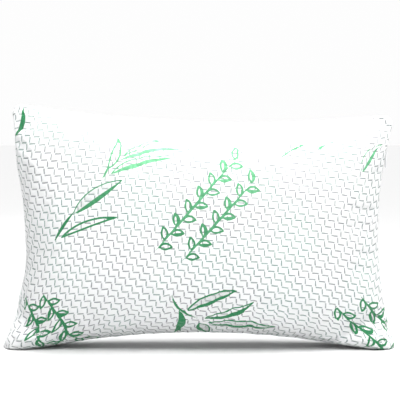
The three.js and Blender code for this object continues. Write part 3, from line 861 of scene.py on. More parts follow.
def simulated_folds(layer):
    """Fills the cover with air as a cloth sewn round its outline, and gives each side's folds."""
    s, t = layer.even_grid(FOLD_COLUMNS, FOLD_ROWS)
    sides = {side: layer.place(s, t, side) for side in SIDES}
    index = grid_index(FOLD_ROWS, FOLD_COLUMNS)
    count = index.size
    on_border = np.zeros(index.shape, bool)
    on_border[[0, -1], :] = on_border[:, [0, -1]] = True
    back_index = np.where(on_border, index, index + count)
    points = np.concatenate([sides[FRONT].reshape(-1, 3), sides[BACK].reshape(-1, 3)])
    faces = np.concatenate([grid_quads(index), grid_quads(back_index, turned=True)])
    mesh = bpy.data.meshes.new("fold_cloth")
    mesh.from_pydata(points, [], faces.tolist())
    cloth_object = bpy.data.objects.new("fold_cloth", mesh)
    bpy.context.scene.collection.objects.link(cloth_object)
    sewn = cloth_object.vertex_groups.new(name="sewn")
    resting = points[:, 2] < 0.5 * MM
    held = np.concatenate([on_border.ravel(), np.zeros(count, bool)]) | resting
    sewn.add(np.flatnonzero(held).tolist(), 1.0, "REPLACE")
    cloth = cloth_object.modifiers.new("cloth", "CLOTH")
    knit = cloth.settings
    knit.quality = 5
    knit.mass = 0.15
    knit.tension_stiffness = knit.compression_stiffness = 12
    knit.shear_stiffness = 4
    knit.bending_stiffness = 0.05
    knit.shrink_min = FOLD_GROWTH
    knit.use_pressure = True
    knit.uniform_pressure_force = FOLD_PRESSURE
    knit.vertex_group_mass = "sewn"
    knit.effector_weights.gravity = 0.0
    cloth.collision_settings.use_collision = False
    cloth.point_cache.frame_start, cloth.point_cache.frame_end = 1, FOLD_FRAMES
    scene = bpy.context.scene
    for step in range(1, FOLD_FRAMES + 1):
        scene.frame_set(step)
    ready = cloth_object.evaluated_get(bpy.context.evaluated_depsgraph_get())
    after = np.empty(len(points) * 3, np.float32)
    ready.data.vertices.foreach_get("co", after)
    after = after.reshape(-1, 3).astype(float)
    folds = {}
    for side, place in ((FRONT, index), (BACK, back_index)):
        moved = after[place] - sides[side]
        moved -= blurred(moved, FOLD_EVEN_OUT * 6)
        size = np.linalg.norm(moved, axis=2, keepdims=True)
        folds[side] = moved * (FOLD_CAP * np.tanh(size / FOLD_CAP) / np.maximum(size, 1e-9))
    bpy.data.objects.remove(cloth_object)
    bpy.data.meshes.remove(mesh)
    scene.frame_set(1)
    return folds


FOLDS = {}  # each side's folds, once they have been simulated


def folds_of(context):
    """The simulated folds, worked out once."""
    if not FOLDS:
        FOLDS.update(simulated_folds(Layer(sizes(context))))
    return FOLDS


def enlarged(field, rows, columns):
    """A coarse grid of vectors read at a finer grid's places, smoothly."""
    def stretch(values, count, axis):
        old = np.linspace(0, 1, values.shape[axis])
        new = np.linspace(0, 1, count)
        return np.apply_along_axis(lambda line: np.interp(new, old, line), axis, values)

    return blurred(stretch(stretch(field, rows + 1, 0), columns + 1, 1), 3)


# ---- Cover ----


# Where the folds and the puffs come in, in metres: their height over the floor, and their distance
# from the cut cloth's edge. SLOT_SHARE is where along the half length the folds die out at the slot.
FOLDS_OVER_FLOOR = (0.0005, 0.02)
FOLDS_FROM_EDGE = (0.0, 0.012)
PUFFS_OVER_FLOOR = (0.0002, 0.004)
PUFFS_FROM_EDGE = (0.001, 0.006)
SLOT_SHARE = (0.93, 0.985)


def open_for_zip(s, t, layer, zip_line, zip_sizes):
    """Moves a panel's columns so its border keeps clear of the seam and of the zip's slot."""
    shape = layer.shape
    edge = layer.outline.right
    rim = read_by_length(edge.points, (t + 1) / 2)
    along = np.abs(zip_line.along(rim))
    reach = zip_sizes.half_length + zip_sizes.slot_end
    opened = smooth_step(reach - along, 0.0, zip_sizes.slot_end)
    seam = layer.half_edge + shape.cloth / 2
    target = seam + (zip_sizes.slot_half_width + shape.cloth / 2 - seam) * opened
    height_share = np.maximum(1 - np.abs(t) ** shape.height_fullness, 1e-3)
    share = ((target - layer.half_edge) / layer.fullest) ** (1 / shape.edge_roundness) / height_share
    last = np.maximum(1 - share, 0.9) ** (1 / shape.length_fullness)
    return np.where(s > 0, s * (1 - (1 - last) * np.maximum(s, 0) ** 6), s), opened


def cover_panel(context, side, folds):
    """One knit panel: its stuffed shape, simulated folds, puffed blocks and printed leaves."""
    shape, knit, zip_sizes = sizes(context), context.scene.pillow_knit, context.scene.pillow_zip
    layer = Layer(shape)
    zip_line = ZipLine(shape)
    columns, rows = cells_over(shape, knit.cell)
    s, t = layer.even_grid(columns, rows)
    s, opened = open_for_zip(s, t, layer, zip_line, zip_sizes)
    points = layer.place(s, t, side)
    least = layer.half_edge + shape.cloth / 2
    half_way = least + (np.abs(points[..., 1]) - layer.half_edge) / 2
    points[..., 1] = side * np.maximum(np.abs(points[..., 1]), half_way)
    u, v = fabric_places(points, shape)
    u = u if side == FRONT else -u
    border = np.minimum(shape.flat_width / 2 - np.abs(u), shape.flat_height / 2 - np.abs(v))
    if folds:
        moved = enlarged(folds[side], rows, columns)
        resting = smooth_step(points[..., 2], *FOLDS_OVER_FLOOR)[..., None]
        zip_side = 1 - opened[..., None] * smooth_step(s, *SLOT_SHARE)[..., None]
        seam = smooth_step(border, *FOLDS_FROM_EDGE)[..., None]
        points = points + moved * resting * zip_side * seam
    normals = grid_normals(points, side)
    away = dash_distance(u / knit.unit, v / knit.unit, knit) * knit.unit
    fade = smooth_step(border, *PUFFS_FROM_EDGE)
    fade = fade * smooth_step(points[..., 2], *PUFFS_OVER_FLOOR)
    puffed = knit.puff * (1 - np.exp(-((away / knit.valley) ** 2))) - knit.puff / 2
    points = points + normals * (puffed * fade)[..., None]
    points[..., 1] = side * np.maximum(np.abs(points[..., 1]), least)
    points[..., 2] = np.maximum(points[..., 2], 0.0)
    mesh = cloth_mesh(f"cover_{SIDES[side]}", points, normals, side, shape.cloth,
                      np.stack([u, v], axis=-1))
    leaves = front_print() if side == FRONT else back_print()
    for attribute, values in zip(("ink", "hatch", "tone"), printed_on(mesh, leaves)):
        paint(mesh, attribute, values)
    return mesh


def printed_on(mesh, leaves):
    """The print's three numbers for each vertex of a mesh, read from its fabric map."""
    places = np.zeros((len(mesh.vertices), 2), np.float32)
    uv = np.empty(len(mesh.loops) * 2, np.float32)
    mesh.uv_layers["fabric"].data.foreach_get("uv", uv)
    places[corner_vertices(mesh)] = uv.reshape(-1, 2)
    return printed(places[:, 0].astype(float), places[:, 1].astype(float), leaves)


def knit_finish(context):
    """White quilted knit with grey and teal stitched lines and green printed leaves."""
    knit = context.scene.pillow_knit
    finish = Finish("quilted_knit", 0.86, Sheen_Weight=0.25, Sheen_Roughness=0.5,
                    Specular_IOR_Level=0.25)
    both, u, v = finish.uv()
    wobble = finish.noise(both, 160.0, 1.0)
    p = u / knit.unit + (wobble - 0.5) * 0.22
    q = v / knit.unit + (finish.noise(both, 130.0, 1.0) - 0.5) * 0.16
    skew = STEP_ACROSS[1] / STEP_ACROSS[0]
    up = ((q - skew * p) / (STEP_UP[1] - skew * STEP_UP[0])).floor()
    along = ((p - up * STEP_UP[0]) / STEP_ACROSS[0]).floor()
    x = p - along * STEP_ACROSS[0] - up * STEP_UP[0]
    y = q - along * STEP_ACROSS[1] - up * STEP_UP[1]
    flat, upright = dash_boxes(knit)
    away = None
    for (centre, half), steps in ((flat, ((0, 0), (0, 1), (1, 0))),
                                  (upright, ((0, 1), (-1, 1), (0, 0)))):
        for i, j in steps:
            cx = centre[0] + i * STEP_ACROSS[0] + j * STEP_UP[0]
            cy = centre[1] + i * STEP_ACROSS[1] + j * STEP_UP[1]
            box = (abs(x - cx) - half[0]).most(abs(y - cy) - half[1])
            away = box if away is None else away.least(box)
    half_line = knit.dash_width / 2 / knit.unit
    line = away.step(half_line * 1.7, half_line * 0.5)
    strength = finish.noise(both, 55.0, 2.0).step(0.2, 0.7) * 0.28 + 0.64
    tint = finish.noise(both, 9.0, 3.0).step(0.42, 0.62)
    teal = finish.mix(tint * 0.8, knit.line_grey_and_shade, knit.line_teal)
    yarn = crossed(u, v, 0.0011, 0.0009)
    mottle = finish.noise(both, 30.0, 4.0)
    ground = finish.mix(mottle.step(0.3, 0.8) * 0.5 + yarn * 0.15, knit.white,
                        shade(knit.white, 0.93))
    # Stitched lines: the thread's grey and teal, darkened by painted shade in their groove.
    ground = finish.mix(line * strength, ground, teal)
    ragged = (finish.noise(both, 900.0, 1.0) - 0.5) * 0.0009
    ink = finish.attribute("ink") + ragged
    tone = finish.attribute("tone")
    # Painted highlight: tone mixes the deep green towards mint on the upper front leaves.
    green = finish.mix(tone, knit.leaf_deep, knit.leaf_mint_highlight)
    streak = ((u + v) * (2 * math.pi / 0.0023)).sin()
    hatched = finish.attribute("hatch").step(0.0002, -0.0006) * streak.step(-0.2, 0.6)
    ground = finish.mix(hatched * 0.75, ground, knit.hatch_grey)
    inked = ink.step(0.00035, -0.00035) * (finish.noise(both, 700.0, 2.0).step(0.15, 0.5) * 0.2 + 0.8)
    finish.colour(finish.mix(inked, ground, green))
    finish.roughness(0.86 - line * 0.1 + inked * 0.04)
    relief = 0.5 + yarn * 0.12 - line * 0.4 + finish.noise(both, 420.0, 3.0) * 0.12 + inked * 0.05
    finish.bump(relief, 0.0007, 0.8)
    return finish.material


class PILLOW_OT_cover(bpy.types.Operator):
    """Make the two padded panels of the quilted knit cover"""

    bl_idname = "pillow.cover"
    bl_label = "Knit cover"

    def execute(self, context):
        finish = knit_finish(context)
        for side, name in SIDES.items():
            panel = shown(cover_panel(context, side, folds_of(context)), finish)
            settle(panel, "pillow", "cover_knit", f"cover_{name}_panel")
        return {"FINISHED"}


# ---- Tools for the other pieces ----

# Where the left side has settled in or out: height, reach up and down, and how far towards +X, in mm.
SETTLED = ((325, 40, -8.5), (140, 45, 8.5), (55, 22, 5.0))
SETTLED_FROM, SETTLED_WHOLLY = 0.16, 0.33  # from the middle towards -X


def let_settle(piece):
    """Moves all that lies at the left side alike, so the layers keep their places."""
    places = vertex_places(piece.data)
    nearness = smooth_step(-places[:, 0], SETTLED_FROM, SETTLED_WHOLLY)
    for height, reach, amount in SETTLED:
        off = (places[:, 2] / MM - height) / reach
        places[:, 0] += nearness * amount * MM * np.exp(-off * off / 2)
    piece.data.vertices.foreach_set("co", places.astype(np.float32).ravel())
    piece.data.update()


def settle(piece, body, slot, *nodes):
    """Hangs a finished piece on its body, with the CAD nodes it stands for."""
    if body == "pillow":
        let_settle(piece)
    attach(piece, body)
    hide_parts(*nodes)


def chosen(piece):
    """Makes a piece the only one selected, for Blender's operators."""
    bpy.ops.object.select_all(action="DESELECT")
    piece.select_set(True)
    bpy.context.view_layer.objects.active = piece
    return piece


def changed(piece, kind, **settings):
    """Adds a modifier and applies it."""
    modifier = chosen(piece).modifiers.new(kind.title(), kind)
    for name, value in settings.items():
        setattr(modifier, name, value)
    bpy.ops.object.modifier_apply(modifier=modifier.name)


def smoothed(piece, degrees=40):
    chosen(piece)
    bpy.ops.object.shade_smooth_by_angle(angle=math.radians(degrees))
    return piece


def vertex_places(mesh):
    places = np.empty(len(mesh.vertices) * 3, np.float32)
    mesh.vertices.foreach_get("co", places)
    return places.reshape(-1, 3).astype(float)


def surface_of(piece):
    """A piece's faces as a tree that rays can be cast at."""
    return BVHTree.FromPolygons([v.co for v in piece.data.vertices],
                                [list(face.vertices) for face in piece.data.polygons])


def grid_piece(name, columns, rows, place, measure, material):
    """A grid laid where place() says for shares from -1 to 1, mapped in metres by measure()."""
    bpy.ops.object.select_all(action="DESELECT")
    bpy.ops.mesh.primitive_grid_add(x_subdivisions=columns, y_subdivisions=rows, size=2)
    piece = bpy.context.object
    piece.name = piece.data.name = name
    mesh = piece.data
    share = vertex_places(mesh)
    for layer in list(mesh.uv_layers):
        mesh.uv_layers.remove(layer)
    lay_map(mesh, np.stack(measure(share[:, 0], share[:, 1]), axis=-1))
    mesh.vertices.foreach_set("co", place(share[:, 0], share[:, 1]).astype(np.float32).ravel())
    mesh.materials.append(material)
    mesh.update()
    return piece


def tube_piece(name, points, radius, material, roundness=1):
    """A closed tube along a line of points."""
    curve = bpy.data.curves.new(name, "CURVE")
    curve.dimensions = "3D"
    curve.bevel_depth = radius
    curve.bevel_resolution = roundness
    curve.use_fill_caps = True
    line = curve.splines.new("POLY")
    line.points.add(len(points) - 1)
    line.points.foreach_set("co", np.c_[points, np.ones(len(points))].astype(np.float32).ravel())
    piece = bpy.data.objects.new(name, curve)
    bpy.context.scene.collection.objects.link(piece)
    chosen(piece)
    bpy.ops.object.convert(target="MESH")
    piece.data.name = name
    piece.data.materials.append(material)
    return smoothed(piece, 60)


def joined(piece, *others):
    """One piece of several, each part keeping its own material."""
    chosen(piece)
    for other in others:
        other.select_set(True)
    bpy.ops.object.join()
    return piece


def softened(node, name, radius, material):
    """A copy of a CAD node's solid with its edges rounded."""
    piece = bpy.data.objects.new(name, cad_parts[node].data.copy())
    piece.data.name = name
    bpy.context.scene.collection.objects.link(piece)
    chosen(piece)
    bpy.ops.object.mode_set(mode="EDIT")
    bpy.ops.mesh.select_all(action="SELECT")
    bpy.ops.mesh.remove_doubles(threshold=1e-6)
    bpy.ops.mesh.tris_convert_to_quads()
    bpy.ops.mesh.dissolve_limited(angle_limit=math.radians(1))
    bpy.ops.object.mode_set(mode="OBJECT")
    changed(piece, "BEVEL", width=radius, segments=3, limit_method="ANGLE",
            angle_limit=math.radians(30), use_clamp_overlap=True)
    piece.data.materials.clear()
    piece.data.materials.append(material)
    return smoothed(piece, 35)


# ---- Inner pillow: liner, foam and seams ----


def woven_finish(context):
    """Plain cotton weave, thread over thread."""
    look = context.scene.pillow_inner
    finish = Finish("woven_cotton", 0.9, Sheen_Weight=0.15)
    both, u, v = finish.uv()
    weave = crossed(u, v, 0.0012, 0.0012)
    slub = finish.noise(both, 90.0, 3.0)
    finish.colour(finish.mix(weave * 0.25 + slub * 0.5, look.liner_white,
                             shade(look.liner_white, 0.86)))
    finish.roughness(0.88 + slub * 0.08)
    finish.bump(weave * 0.4 + slub * 0.3 + 0.5, 0.0004)
    return finish.material


def foam_finish(context):
    """Loose crumbs of foam, some paler, each full of fine holes, with painted shade in gaps and holes.
    """
    look = context.scene.pillow_inner
    finish = Finish("foam_crumbs", 0.95)
    places = finish.places()
    crumb = finish.node("ShaderNodeTexVoronoi", values={"Vector": places, "Scale": 1 / look.crumb})
    holes = finish.noise(places, 1400.0, 2.0)
    tone = finish.noise(places, 90.0, 1.0).step(0.4, 0.6)
    ground = finish.mix(tone, look.foam_cream, look.foam_pale)
    # Painted shade: the crumb colour darkens in the gaps between crumbs and in the fine holes.
    dark = shade(look.foam_cream, 0.55)
    finish.colour(finish.mix(crumb.step(0.35, 0.9) * 0.6 + holes * 0.2, ground, dark))
    finish.bump(0.8 - crumb * 0.6 + holes * 0.2, 0.002)
    return finish.material


def thread_finish(context):
    """Twisted sewing thread."""
    look = context.scene.pillow_inner
    finish = Finish("sewing_thread", 0.55, Sheen_Weight=0.3)
    twist = finish.node("ShaderNodeTexWave", {"bands_direction": "DIAGONAL"},
                        {"Vector": finish.places(), "Scale": 700.0, "Distortion": 0.6}, output=1)
    finish.colour(finish.mix(twist * 0.35, look.thread_white,
                             shade(look.thread_white, 0.78)))
    finish.roughness(0.5 + twist * 0.15)
    finish.bump(twist, 0.0001)
    return finish.material


def pressed_knit_finish(context):
    """The knit where it is pressed flat in a seam: its own loops, with no print."""
    knit = context.scene.pillow_knit
    finish = Finish("pressed_knit", 0.88, Sheen_Weight=0.2)
    both, u, v = finish.uv()
    loops = crossed(u, v, 0.0016, 0.0011)
    fuzz = finish.noise(both, 300.0, 3.0)
    finish.colour(finish.mix(loops * 0.2 + fuzz * 0.4, knit.white, shade(knit.white, 0.85)))
    finish.roughness(0.84 + fuzz * 0.1)
    finish.bump(loops * 0.4 + fuzz * 0.3 + 0.5, 0.0006)
    return finish.material


def liner_layer(shape):
    return Layer(shape, shape.liner_rim, shape.cloth + shape.layer_gap)


LINER_FOLDS_OVER_FLOOR = (0.004, 0.025)


def folded(points, field, rows, columns):
    """A layer's grid with the cover's folds, so it stays under the cover."""
    if field is None:
        return points
    resting = smooth_step(points[..., 2], *LINER_FOLDS_OVER_FLOOR)[..., None]
    rim = np.zeros((rows + 1, columns + 1))
    rim[1:-1, 1:-1] = 1
    return points + enlarged(field, rows, columns) * resting * blurred(rim[..., None], 2)


def liner_panel(context, side, folds):
    shape, look = sizes(context), context.scene.pillow_inner
    layer = liner_layer(shape)
    columns, rows = cells_over(shape, look.liner_cell)
    s, t = layer.even_grid(columns, rows)
    points = folded(layer.place(s, t, side), folds.get(side), rows, columns)
    least = layer.half_edge + shape.liner_cloth / 2
    points[..., 1] = side * np.maximum(np.abs(points[..., 1]), least)
    u, v = fabric_places(points, shape)
    return cloth_mesh(f"liner_{SIDES[side]}", points, grid_normals(points, side), side,
                      shape.liner_cloth, np.stack([u, v], axis=-1))


class PILLOW_OT_liner(bpy.types.Operator):
    """Make the inner pillow's two padded cotton panels"""

    bl_idname = "pillow.liner"
    bl_label = "Inner pillow"

    def execute(self, context):
        finish = woven_finish(context)
        for side, name in SIDES.items():
            panel = shown(liner_panel(context, side, folds_of(context)), finish)
            settle(panel, "pillow", "liner_cloth", f"liner_{name}_panel")
        return {"FINISHED"}


def foam_mesh(context):
    """The heap of foam: a front and a back belly joined round a blunt edge."""
    shape, look = sizes(context), context.scene.pillow_inner
    layer = Layer(shape, shape.liner_rim + shape.liner_cloth + shape.fill_rim,
                  shape.cloth + 2 * shape.layer_gap + shape.liner_cloth, shape.fill_edge / 2)
    columns, rows = cells_over(shape, look.liner_cell)
    s, t = layer.even_grid(columns, rows)
    folds = folds_of(context)
    sides = [folded(layer.place(s, t, side), folds.get(side), rows, columns)
             for side in SIDES]
    index = grid_index(rows, columns)
    count = index.size
    quads = grid_quads(index)
    loop = loop_of(rows, columns)
    ring = index[loop[:, 0], loop[:, 1]]
    following = np.roll(ring, -1)
    edge = np.stack([following, ring, ring + count, following + count], axis=-1)
    mesh = bpy.data.meshes.new("foam_filling")
    mesh.from_pydata(np.concatenate([side.reshape(-1, 3) for side in sides]), [],
                     np.concatenate([quads, quads[:, ::-1] + count, edge]).tolist())
    return mesh


class PILLOW_OT_foam(bpy.types.Operator):
    """Make the heap of loose foam crumbs inside the inner pillow"""

    bl_idname = "pillow.foam"
    bl_label = "Foam filling"

    def execute(self, context):
        look = context.scene.pillow_inner
        foam = shown(foam_mesh(context), foam_finish(context))
        crumbs = bpy.data.textures.new("crumbs", "VORONOI")
        crumbs.noise_scale = look.crumb
        changed(foam, "DISPLACE", texture=crumbs, texture_coords="LOCAL", mid_level=0.0,
                strength=-look.crumb_depth)
        settle(foam, "pillow", "foam", "foam_fill")
        return {"FINISHED"}


def overlocked_seam(context, node, edge, cloth_finish, thread):
    """The flat allowance behind an edge, wrapped all along by the overlock thread."""
    look = context.scene.pillow_inner
    corners = vertex_places(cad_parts[node].data)
    off = corners[:, [0, 2]] - edge.arc.centre
    reach = np.hypot(off[:, 0], off[:, 1])
    middle = edge.start + edge.turn / 2
    angle = (np.arctan2(off[:, 1], off[:, 0]) - middle + math.pi) % (2 * math.pi) - math.pi
    near, far = reach.min() + look.overlock_radius * 2, reach.max() - look.overlock_radius * 2
    first, last = angle.min(), angle.max()
    thick = np.ptp(corners[:, 1]) - look.overlock_radius * 4
    run = (last - first) * near

    def at(along, across, y):
        a = middle + first + (last - first) * (along + 1) / 2
        r = near + (far - near) * (across + 1) / 2
        return np.stack([edge.arc.centre[0] + r * np.cos(a), y + 0 * a,
                         edge.arc.centre[1] + r * np.sin(a)], axis=-1)

    cells = max(8, round(run / look.seam_cell))
    band = grid_piece(f"{node}_allowance", cells, 3, lambda a, c: at(a, c, 0.0),
                      lambda a, c: (a * run / 2, c * (far - near) / 2), cloth_finish)
    changed(band, "SOLIDIFY", thickness=thick * 0.8, offset=0.0)
    changed(band, "BEVEL", width=thick * 0.3, segments=2, limit_method="ANGLE")
    turns = round(run / look.overlock_pitch)
    steps = np.arange(turns * 6 + 1)
    wrap = np.array([(-1, -1), (0, -1), (1, -1), (1, 1), (0, 1), (-1, 1)])[steps % 6]
    along = np.clip(steps / steps[-1] * 2 - 1, -0.995, 0.995)
    loops = at(along, wrap[:, 0] * 1.0, 0.0)
    loops[:, 1] = wrap[:, 1] * (thick / 2 + look.overlock_radius)
    threads = tube_piece(f"{node}_thread", loops, look.overlock_radius, thread, 0)
    return joined(smoothed(band), threads)


class PILLOW_OT_seams(bpy.types.Operator):
    """Make the overlocked seam allowances of the cover and of the inner pillow"""

    bl_idname = "pillow.seams"
    bl_label = "Overlocked seams"

    def execute(self, context):
        shape = sizes(context)
        thread = thread_finish(context)
        outer, inner = Outline(shape, 0.0), Outline(shape, shape.liner_rim)
        groups = (
            ("cover_seam_thread", pressed_knit_finish(context), {
                "cover_top_seam": outer.top, "cover_bottom_seam": outer.bottom,
                "cover_left_seam": outer.left, "cover_upper_right_seam": outer.right,
                "cover_lower_right_seam": outer.right}),
            ("liner_seam_thread", bpy.data.materials["woven_cotton"], {
                "liner_top_seam": inner.top, "liner_bottom_seam": inner.bottom,
                "liner_left_seam": inner.left, "liner_closing_seam": inner.right}),
        )
        for slot, cloth_finish, seams in groups:
            for node, edge in seams.items():
                seam = overlocked_seam(context, node, edge, cloth_finish, thread)
                seam.name = node.replace("_seam", "_overlock")
                settle(seam, "pillow", slot, node)
        return {"FINISHED"}


# ---- Zip ----


def tape_finish(context):
    """Herringbone tape: rows of slanted threads that turn back at each rib."""
    white = context.scene.pillow_zip.white
    finish = Finish("zip_tape_weave", 0.8, Sheen_Weight=0.2)
    both, u, v = finish.uv()
    rib = abs((v / 0.0018 - (v / 0.0018).floor()) - 0.5)
    slant = ((u / 0.0007 + rib * 3.0) * (2 * math.pi)).sin()
    fuzz = finish.noise(both, 500.0, 2.0)
    finish.colour(finish.mix(slant.step(-0.6, 0.9) * 0.4 + fuzz * 0.2,
                             shade(white, 0.84), white))
    finish.roughness(0.75 + fuzz * 0.12)
    finish.bump(slant * 0.4 + 0.5, 0.00025)
    return finish.material


def nylon_finish(context):
    """Nylon filament, a little cloudy."""
    white = context.scene.pillow_zip.white
    finish = Finish("nylon_filament", 0.32, Coat_Roughness=0.2)
    cloud = finish.noise(finish.places(), 800.0, 2.0)
    finish.colour(finish.mix(cloud * 0.4, white, shade(white, 0.9)))
    finish.roughness(0.28 + cloud * 0.14)
    finish.bump(cloud, 0.00004)
    return finish.material


def lacquer_finish(context):
    """White lacquer over cast metal, worn to grey where it is handled."""
    white = context.scene.pillow_zip.white
    finish = Finish("white_lacquer", 0.3, Coat_Weight=0.4, Coat_Roughness=0.12)
    places = finish.places()
    peel = finish.noise(places, 900.0, 2.0)
    wear = finish.noise(places, 350.0, 4.0).step(0.66, 0.78)
    finish.colour(finish.mix(wear * 0.5, white, (0.55, 0.56, 0.57)))
    finish.roughness(0.26 + peel * 0.1 + wear * 0.15)
    finish.bump(peel * 0.6 - wear * 0.3 + 0.3, 0.00005)
    return finish.material


COIL_STEPS = 9  # the filament's straight pieces in one turn


def zip_coil(context, side, line, finish):
    """One row of the zip: a filament wound into a flattened coil."""
    zip_sizes = context.scene.pillow_zip
    wire = zip_sizes.coil_wire
    turns = round(2 * zip_sizes.half_length / zip_sizes.coil_pitch)
    steps = np.arange(turns * COIL_STEPS + 1)
    round_about = steps * 2 * math.pi / COIL_STEPS + (math.pi if side == BACK else 0)
    along = (steps / steps[-1] * 2 - 1) * (zip_sizes.half_length - wire)
    across = zip_sizes.coil_near + zip_sizes.coil_width / 2
    across = across + (zip_sizes.coil_width / 2 - wire) * np.cos(round_about)
    depth = zip_sizes.coil_depth + zip_sizes.coil_thickness / 2
    depth = depth + (zip_sizes.coil_thickness / 2 - wire) * np.sin(round_about)
    return tube_piece(f"zip_teeth_{SIDES[side]}", line.place(along, side * across, depth), wire,
                      finish)


class PILLOW_OT_coils(bpy.types.Operator):
    """Make the two rows of nylon coil"""

    bl_idname = "pillow.coils"
    bl_label = "Zip coils"

    def execute(self, context):
        line, finish = ZipLine(sizes(context)), nylon_finish(context)
        for side, name in SIDES.items():
            coil = zip_coil(context, side, line, finish)
            settle(coil, "pillow", "zip_coil", f"zip_coil_{name}")
        return {"FINISHED"}


TAPE_CELLS_ALONG, TAPE_CELLS_ACROSS = 150, 16


def zip_tape(context, side, node, line, finish):
    """A woven tape: flat beside the coil, then turned in along the cover."""
    zip_sizes = context.scene.pillow_zip
    corners = vertex_places(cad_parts[node].data)
    depth = np.hypot(corners[:, 0] - line.centre[0], corners[:, 2] - line.centre[1]) - line.radius
    middle = zip_sizes.tape_depth + zip_sizes.tape_thickness / 2
    deepest = depth.max() - zip_sizes.tape_thickness / 2
    half_run = zip_sizes.half_length + zip_sizes.tape_tail
    far = zip_sizes.coil_near + zip_sizes.tape_width

    def place(a, c):
        across = zip_sizes.coil_near + zip_sizes.tape_width * (c + 1) / 2
        turned = np.maximum(across - zip_sizes.tape_bend, 0) / (far - zip_sizes.tape_bend)
        return line.place(a * half_run, side * across, middle + (deepest - middle) * turned)

    tape = grid_piece(f"zip_ribbon_{SIDES[side]}", TAPE_CELLS_ALONG, TAPE_CELLS_ACROSS, place,
                      lambda a, c: (a * half_run, c * zip_sizes.tape_width / 2), finish)
    changed(tape, "SOLIDIFY", thickness=zip_sizes.tape_thickness, offset=0.0)
    chosen(tape)
    bpy.ops.object.mode_set(mode="EDIT")
    bpy.ops.mesh.select_all(action="SELECT")
    bpy.ops.mesh.normals_make_consistent(inside=False)
    bpy.ops.object.mode_set(mode="OBJECT")
    return smoothed(tape)


class PILLOW_OT_tapes(bpy.types.Operator):
    """Make the zip's two woven tapes"""

    bl_idname = "pillow.tapes"
    bl_label = "Zip tapes"

    def execute(self, context):
        line, finish = ZipLine(sizes(context)), tape_finish(context)
        for side, name in SIDES.items():
            node = f"zip_tape_{name}"
            settle(zip_tape(context, side, node, line, finish), "pillow", "zip_tape", node)
        return {"FINISHED"}


def stitch_mesh(zip_sizes):
    """One stitch: a short thread that dips into the cloth at both ends."""
    bpy.ops.object.select_all(action="DESELECT")
    bpy.ops.mesh.primitive_uv_sphere_add(segments=6, ring_count=6, radius=1.0)
    stitch = bpy.context.object
    places = vertex_places(stitch.data)
    long = places[:, 2] * zip_sizes.stitch_length / 2
    lift = zip_sizes.stitch_radius * (0.4 - 1.4 * places[:, 2] ** 2)
    ball = np.stack([places[:, 0] * zip_sizes.stitch_radius,
                     places[:, 1] * zip_sizes.stitch_radius * 0.8 + lift, long], axis=-1)
    # Sorted, because the sphere lists its faces in another order each time.
    faces = sorted(list(face.vertices) for face in stitch.data.polygons)
    bpy.data.objects.remove(stitch)
    return ball, faces


def topstitching(context, line, material):
    """A row of stitches along both folds of the zip's slot."""
    zip_sizes = context.scene.pillow_zip
    ball, faces = stitch_mesh(zip_sizes)
    half_run = zip_sizes.half_length + zip_sizes.slot_end + zip_sizes.stitch_pitch
    count = round(2 * half_run / zip_sizes.stitch_pitch)
    inset = zip_sizes.slot_half_width + zip_sizes.stitch_inset
    spots = [(side, (i / count * 2 - 1) * half_run, inset) for side in SIDES
             for i in range(count + 1)]
    covers = {side: surface_of(bpy.data.objects[f"cover_{name}"])
              for side, name in SIDES.items()}
    vertices, polygons = [], []
    for side, along, across in spots:
        start = line.place(along, side * across, -0.02)
        into = line.place(along, side * across, 0.03) - start
        place, normal = covers[side].ray_cast(Vector(start), Vector(into))[:2]
        if place is None:
            raise RuntimeError("a stitch of the zip missed the cover")
        ahead = Vector(line.place(along + 0.001, 0, 0) - line.place(along, 0, 0))
        up = (ahead - normal * ahead.dot(normal)).normalized()
        turn = np.array(Matrix((normal.cross(up), normal, up)))
        polygons += [[v + len(vertices) * len(ball) for v in face] for face in faces]
        vertices.append(ball @ turn + np.array(place))
    mesh = bpy.data.meshes.new("zip_topstitching")
    mesh.from_pydata(np.concatenate(vertices), [], polygons)
    return shown(mesh, material)


class PILLOW_OT_topstitching(bpy.types.Operator):
    """Sew the cover to the zip with two rows of topstitching"""

    bl_idname = "pillow.topstitching"
    bl_label = "Topstitching"

    def execute(self, context):
        rows = topstitching(context, ZipLine(sizes(context)), bpy.data.materials["sewing_thread"])
        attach(rows, "pillow")
        return {"FINISHED"}


class PILLOW_OT_metal(bpy.types.Operator):
    """Round the edges of the zip's stops, slider and pull and lacquer them"""

    bl_idname = "pillow.metal"
    bl_label = "Slider, pull and stops"

    def execute(self, context):
        lacquer = lacquer_finish(context)
        for node, name, body, slot, radius in (
            ("zip_slider", "slider_body", "slider", "zip_slider", 0.00022),
            ("zip_pull", "pull_tab", "pull", "zip_slider", 0.00025),
            ("zip_top_stop_front", "top_stop_front", "pillow", "zip_stop", 0.0004),
            ("zip_top_stop_back", "top_stop_back", "pillow", "zip_stop", 0.0004),
            ("zip_bottom_stop", "bottom_stop", "pillow", "zip_stop", 0.0004),
        ):
            settle(softened(node, name, radius, lacquer), body, slot, node)
        return {"FINISHED"}


# ---- Stage ----


def floor_finish(context):
    finish = Finish("pale_floor", 0.6, Specular_IOR_Level=0.2)
    grain = finish.noise(finish.places(), 40.0, 3.0)
    pale = context.scene.pillow_stage.floor
    finish.colour(finish.mix(grain * 0.3, pale, shade(pale, 0.97)))
    return finish.material


def aim_at(thing, target):
    thing.rotation_euler = (Vector(target) - thing.location).to_track_quat("-Z", "Y").to_euler()


def soft_light(name, place, target, width, height, power):
    data = bpy.data.lights.new(name, "AREA")
    data.shape = "RECTANGLE"
    data.size, data.size_y = width, height
    data.energy = power
    lamp = bpy.data.objects.new(name, data)
    lamp.location = place
    lamp.visible_camera = False
    aim_at(lamp, target)
    bpy.context.scene.collection.objects.link(lamp)


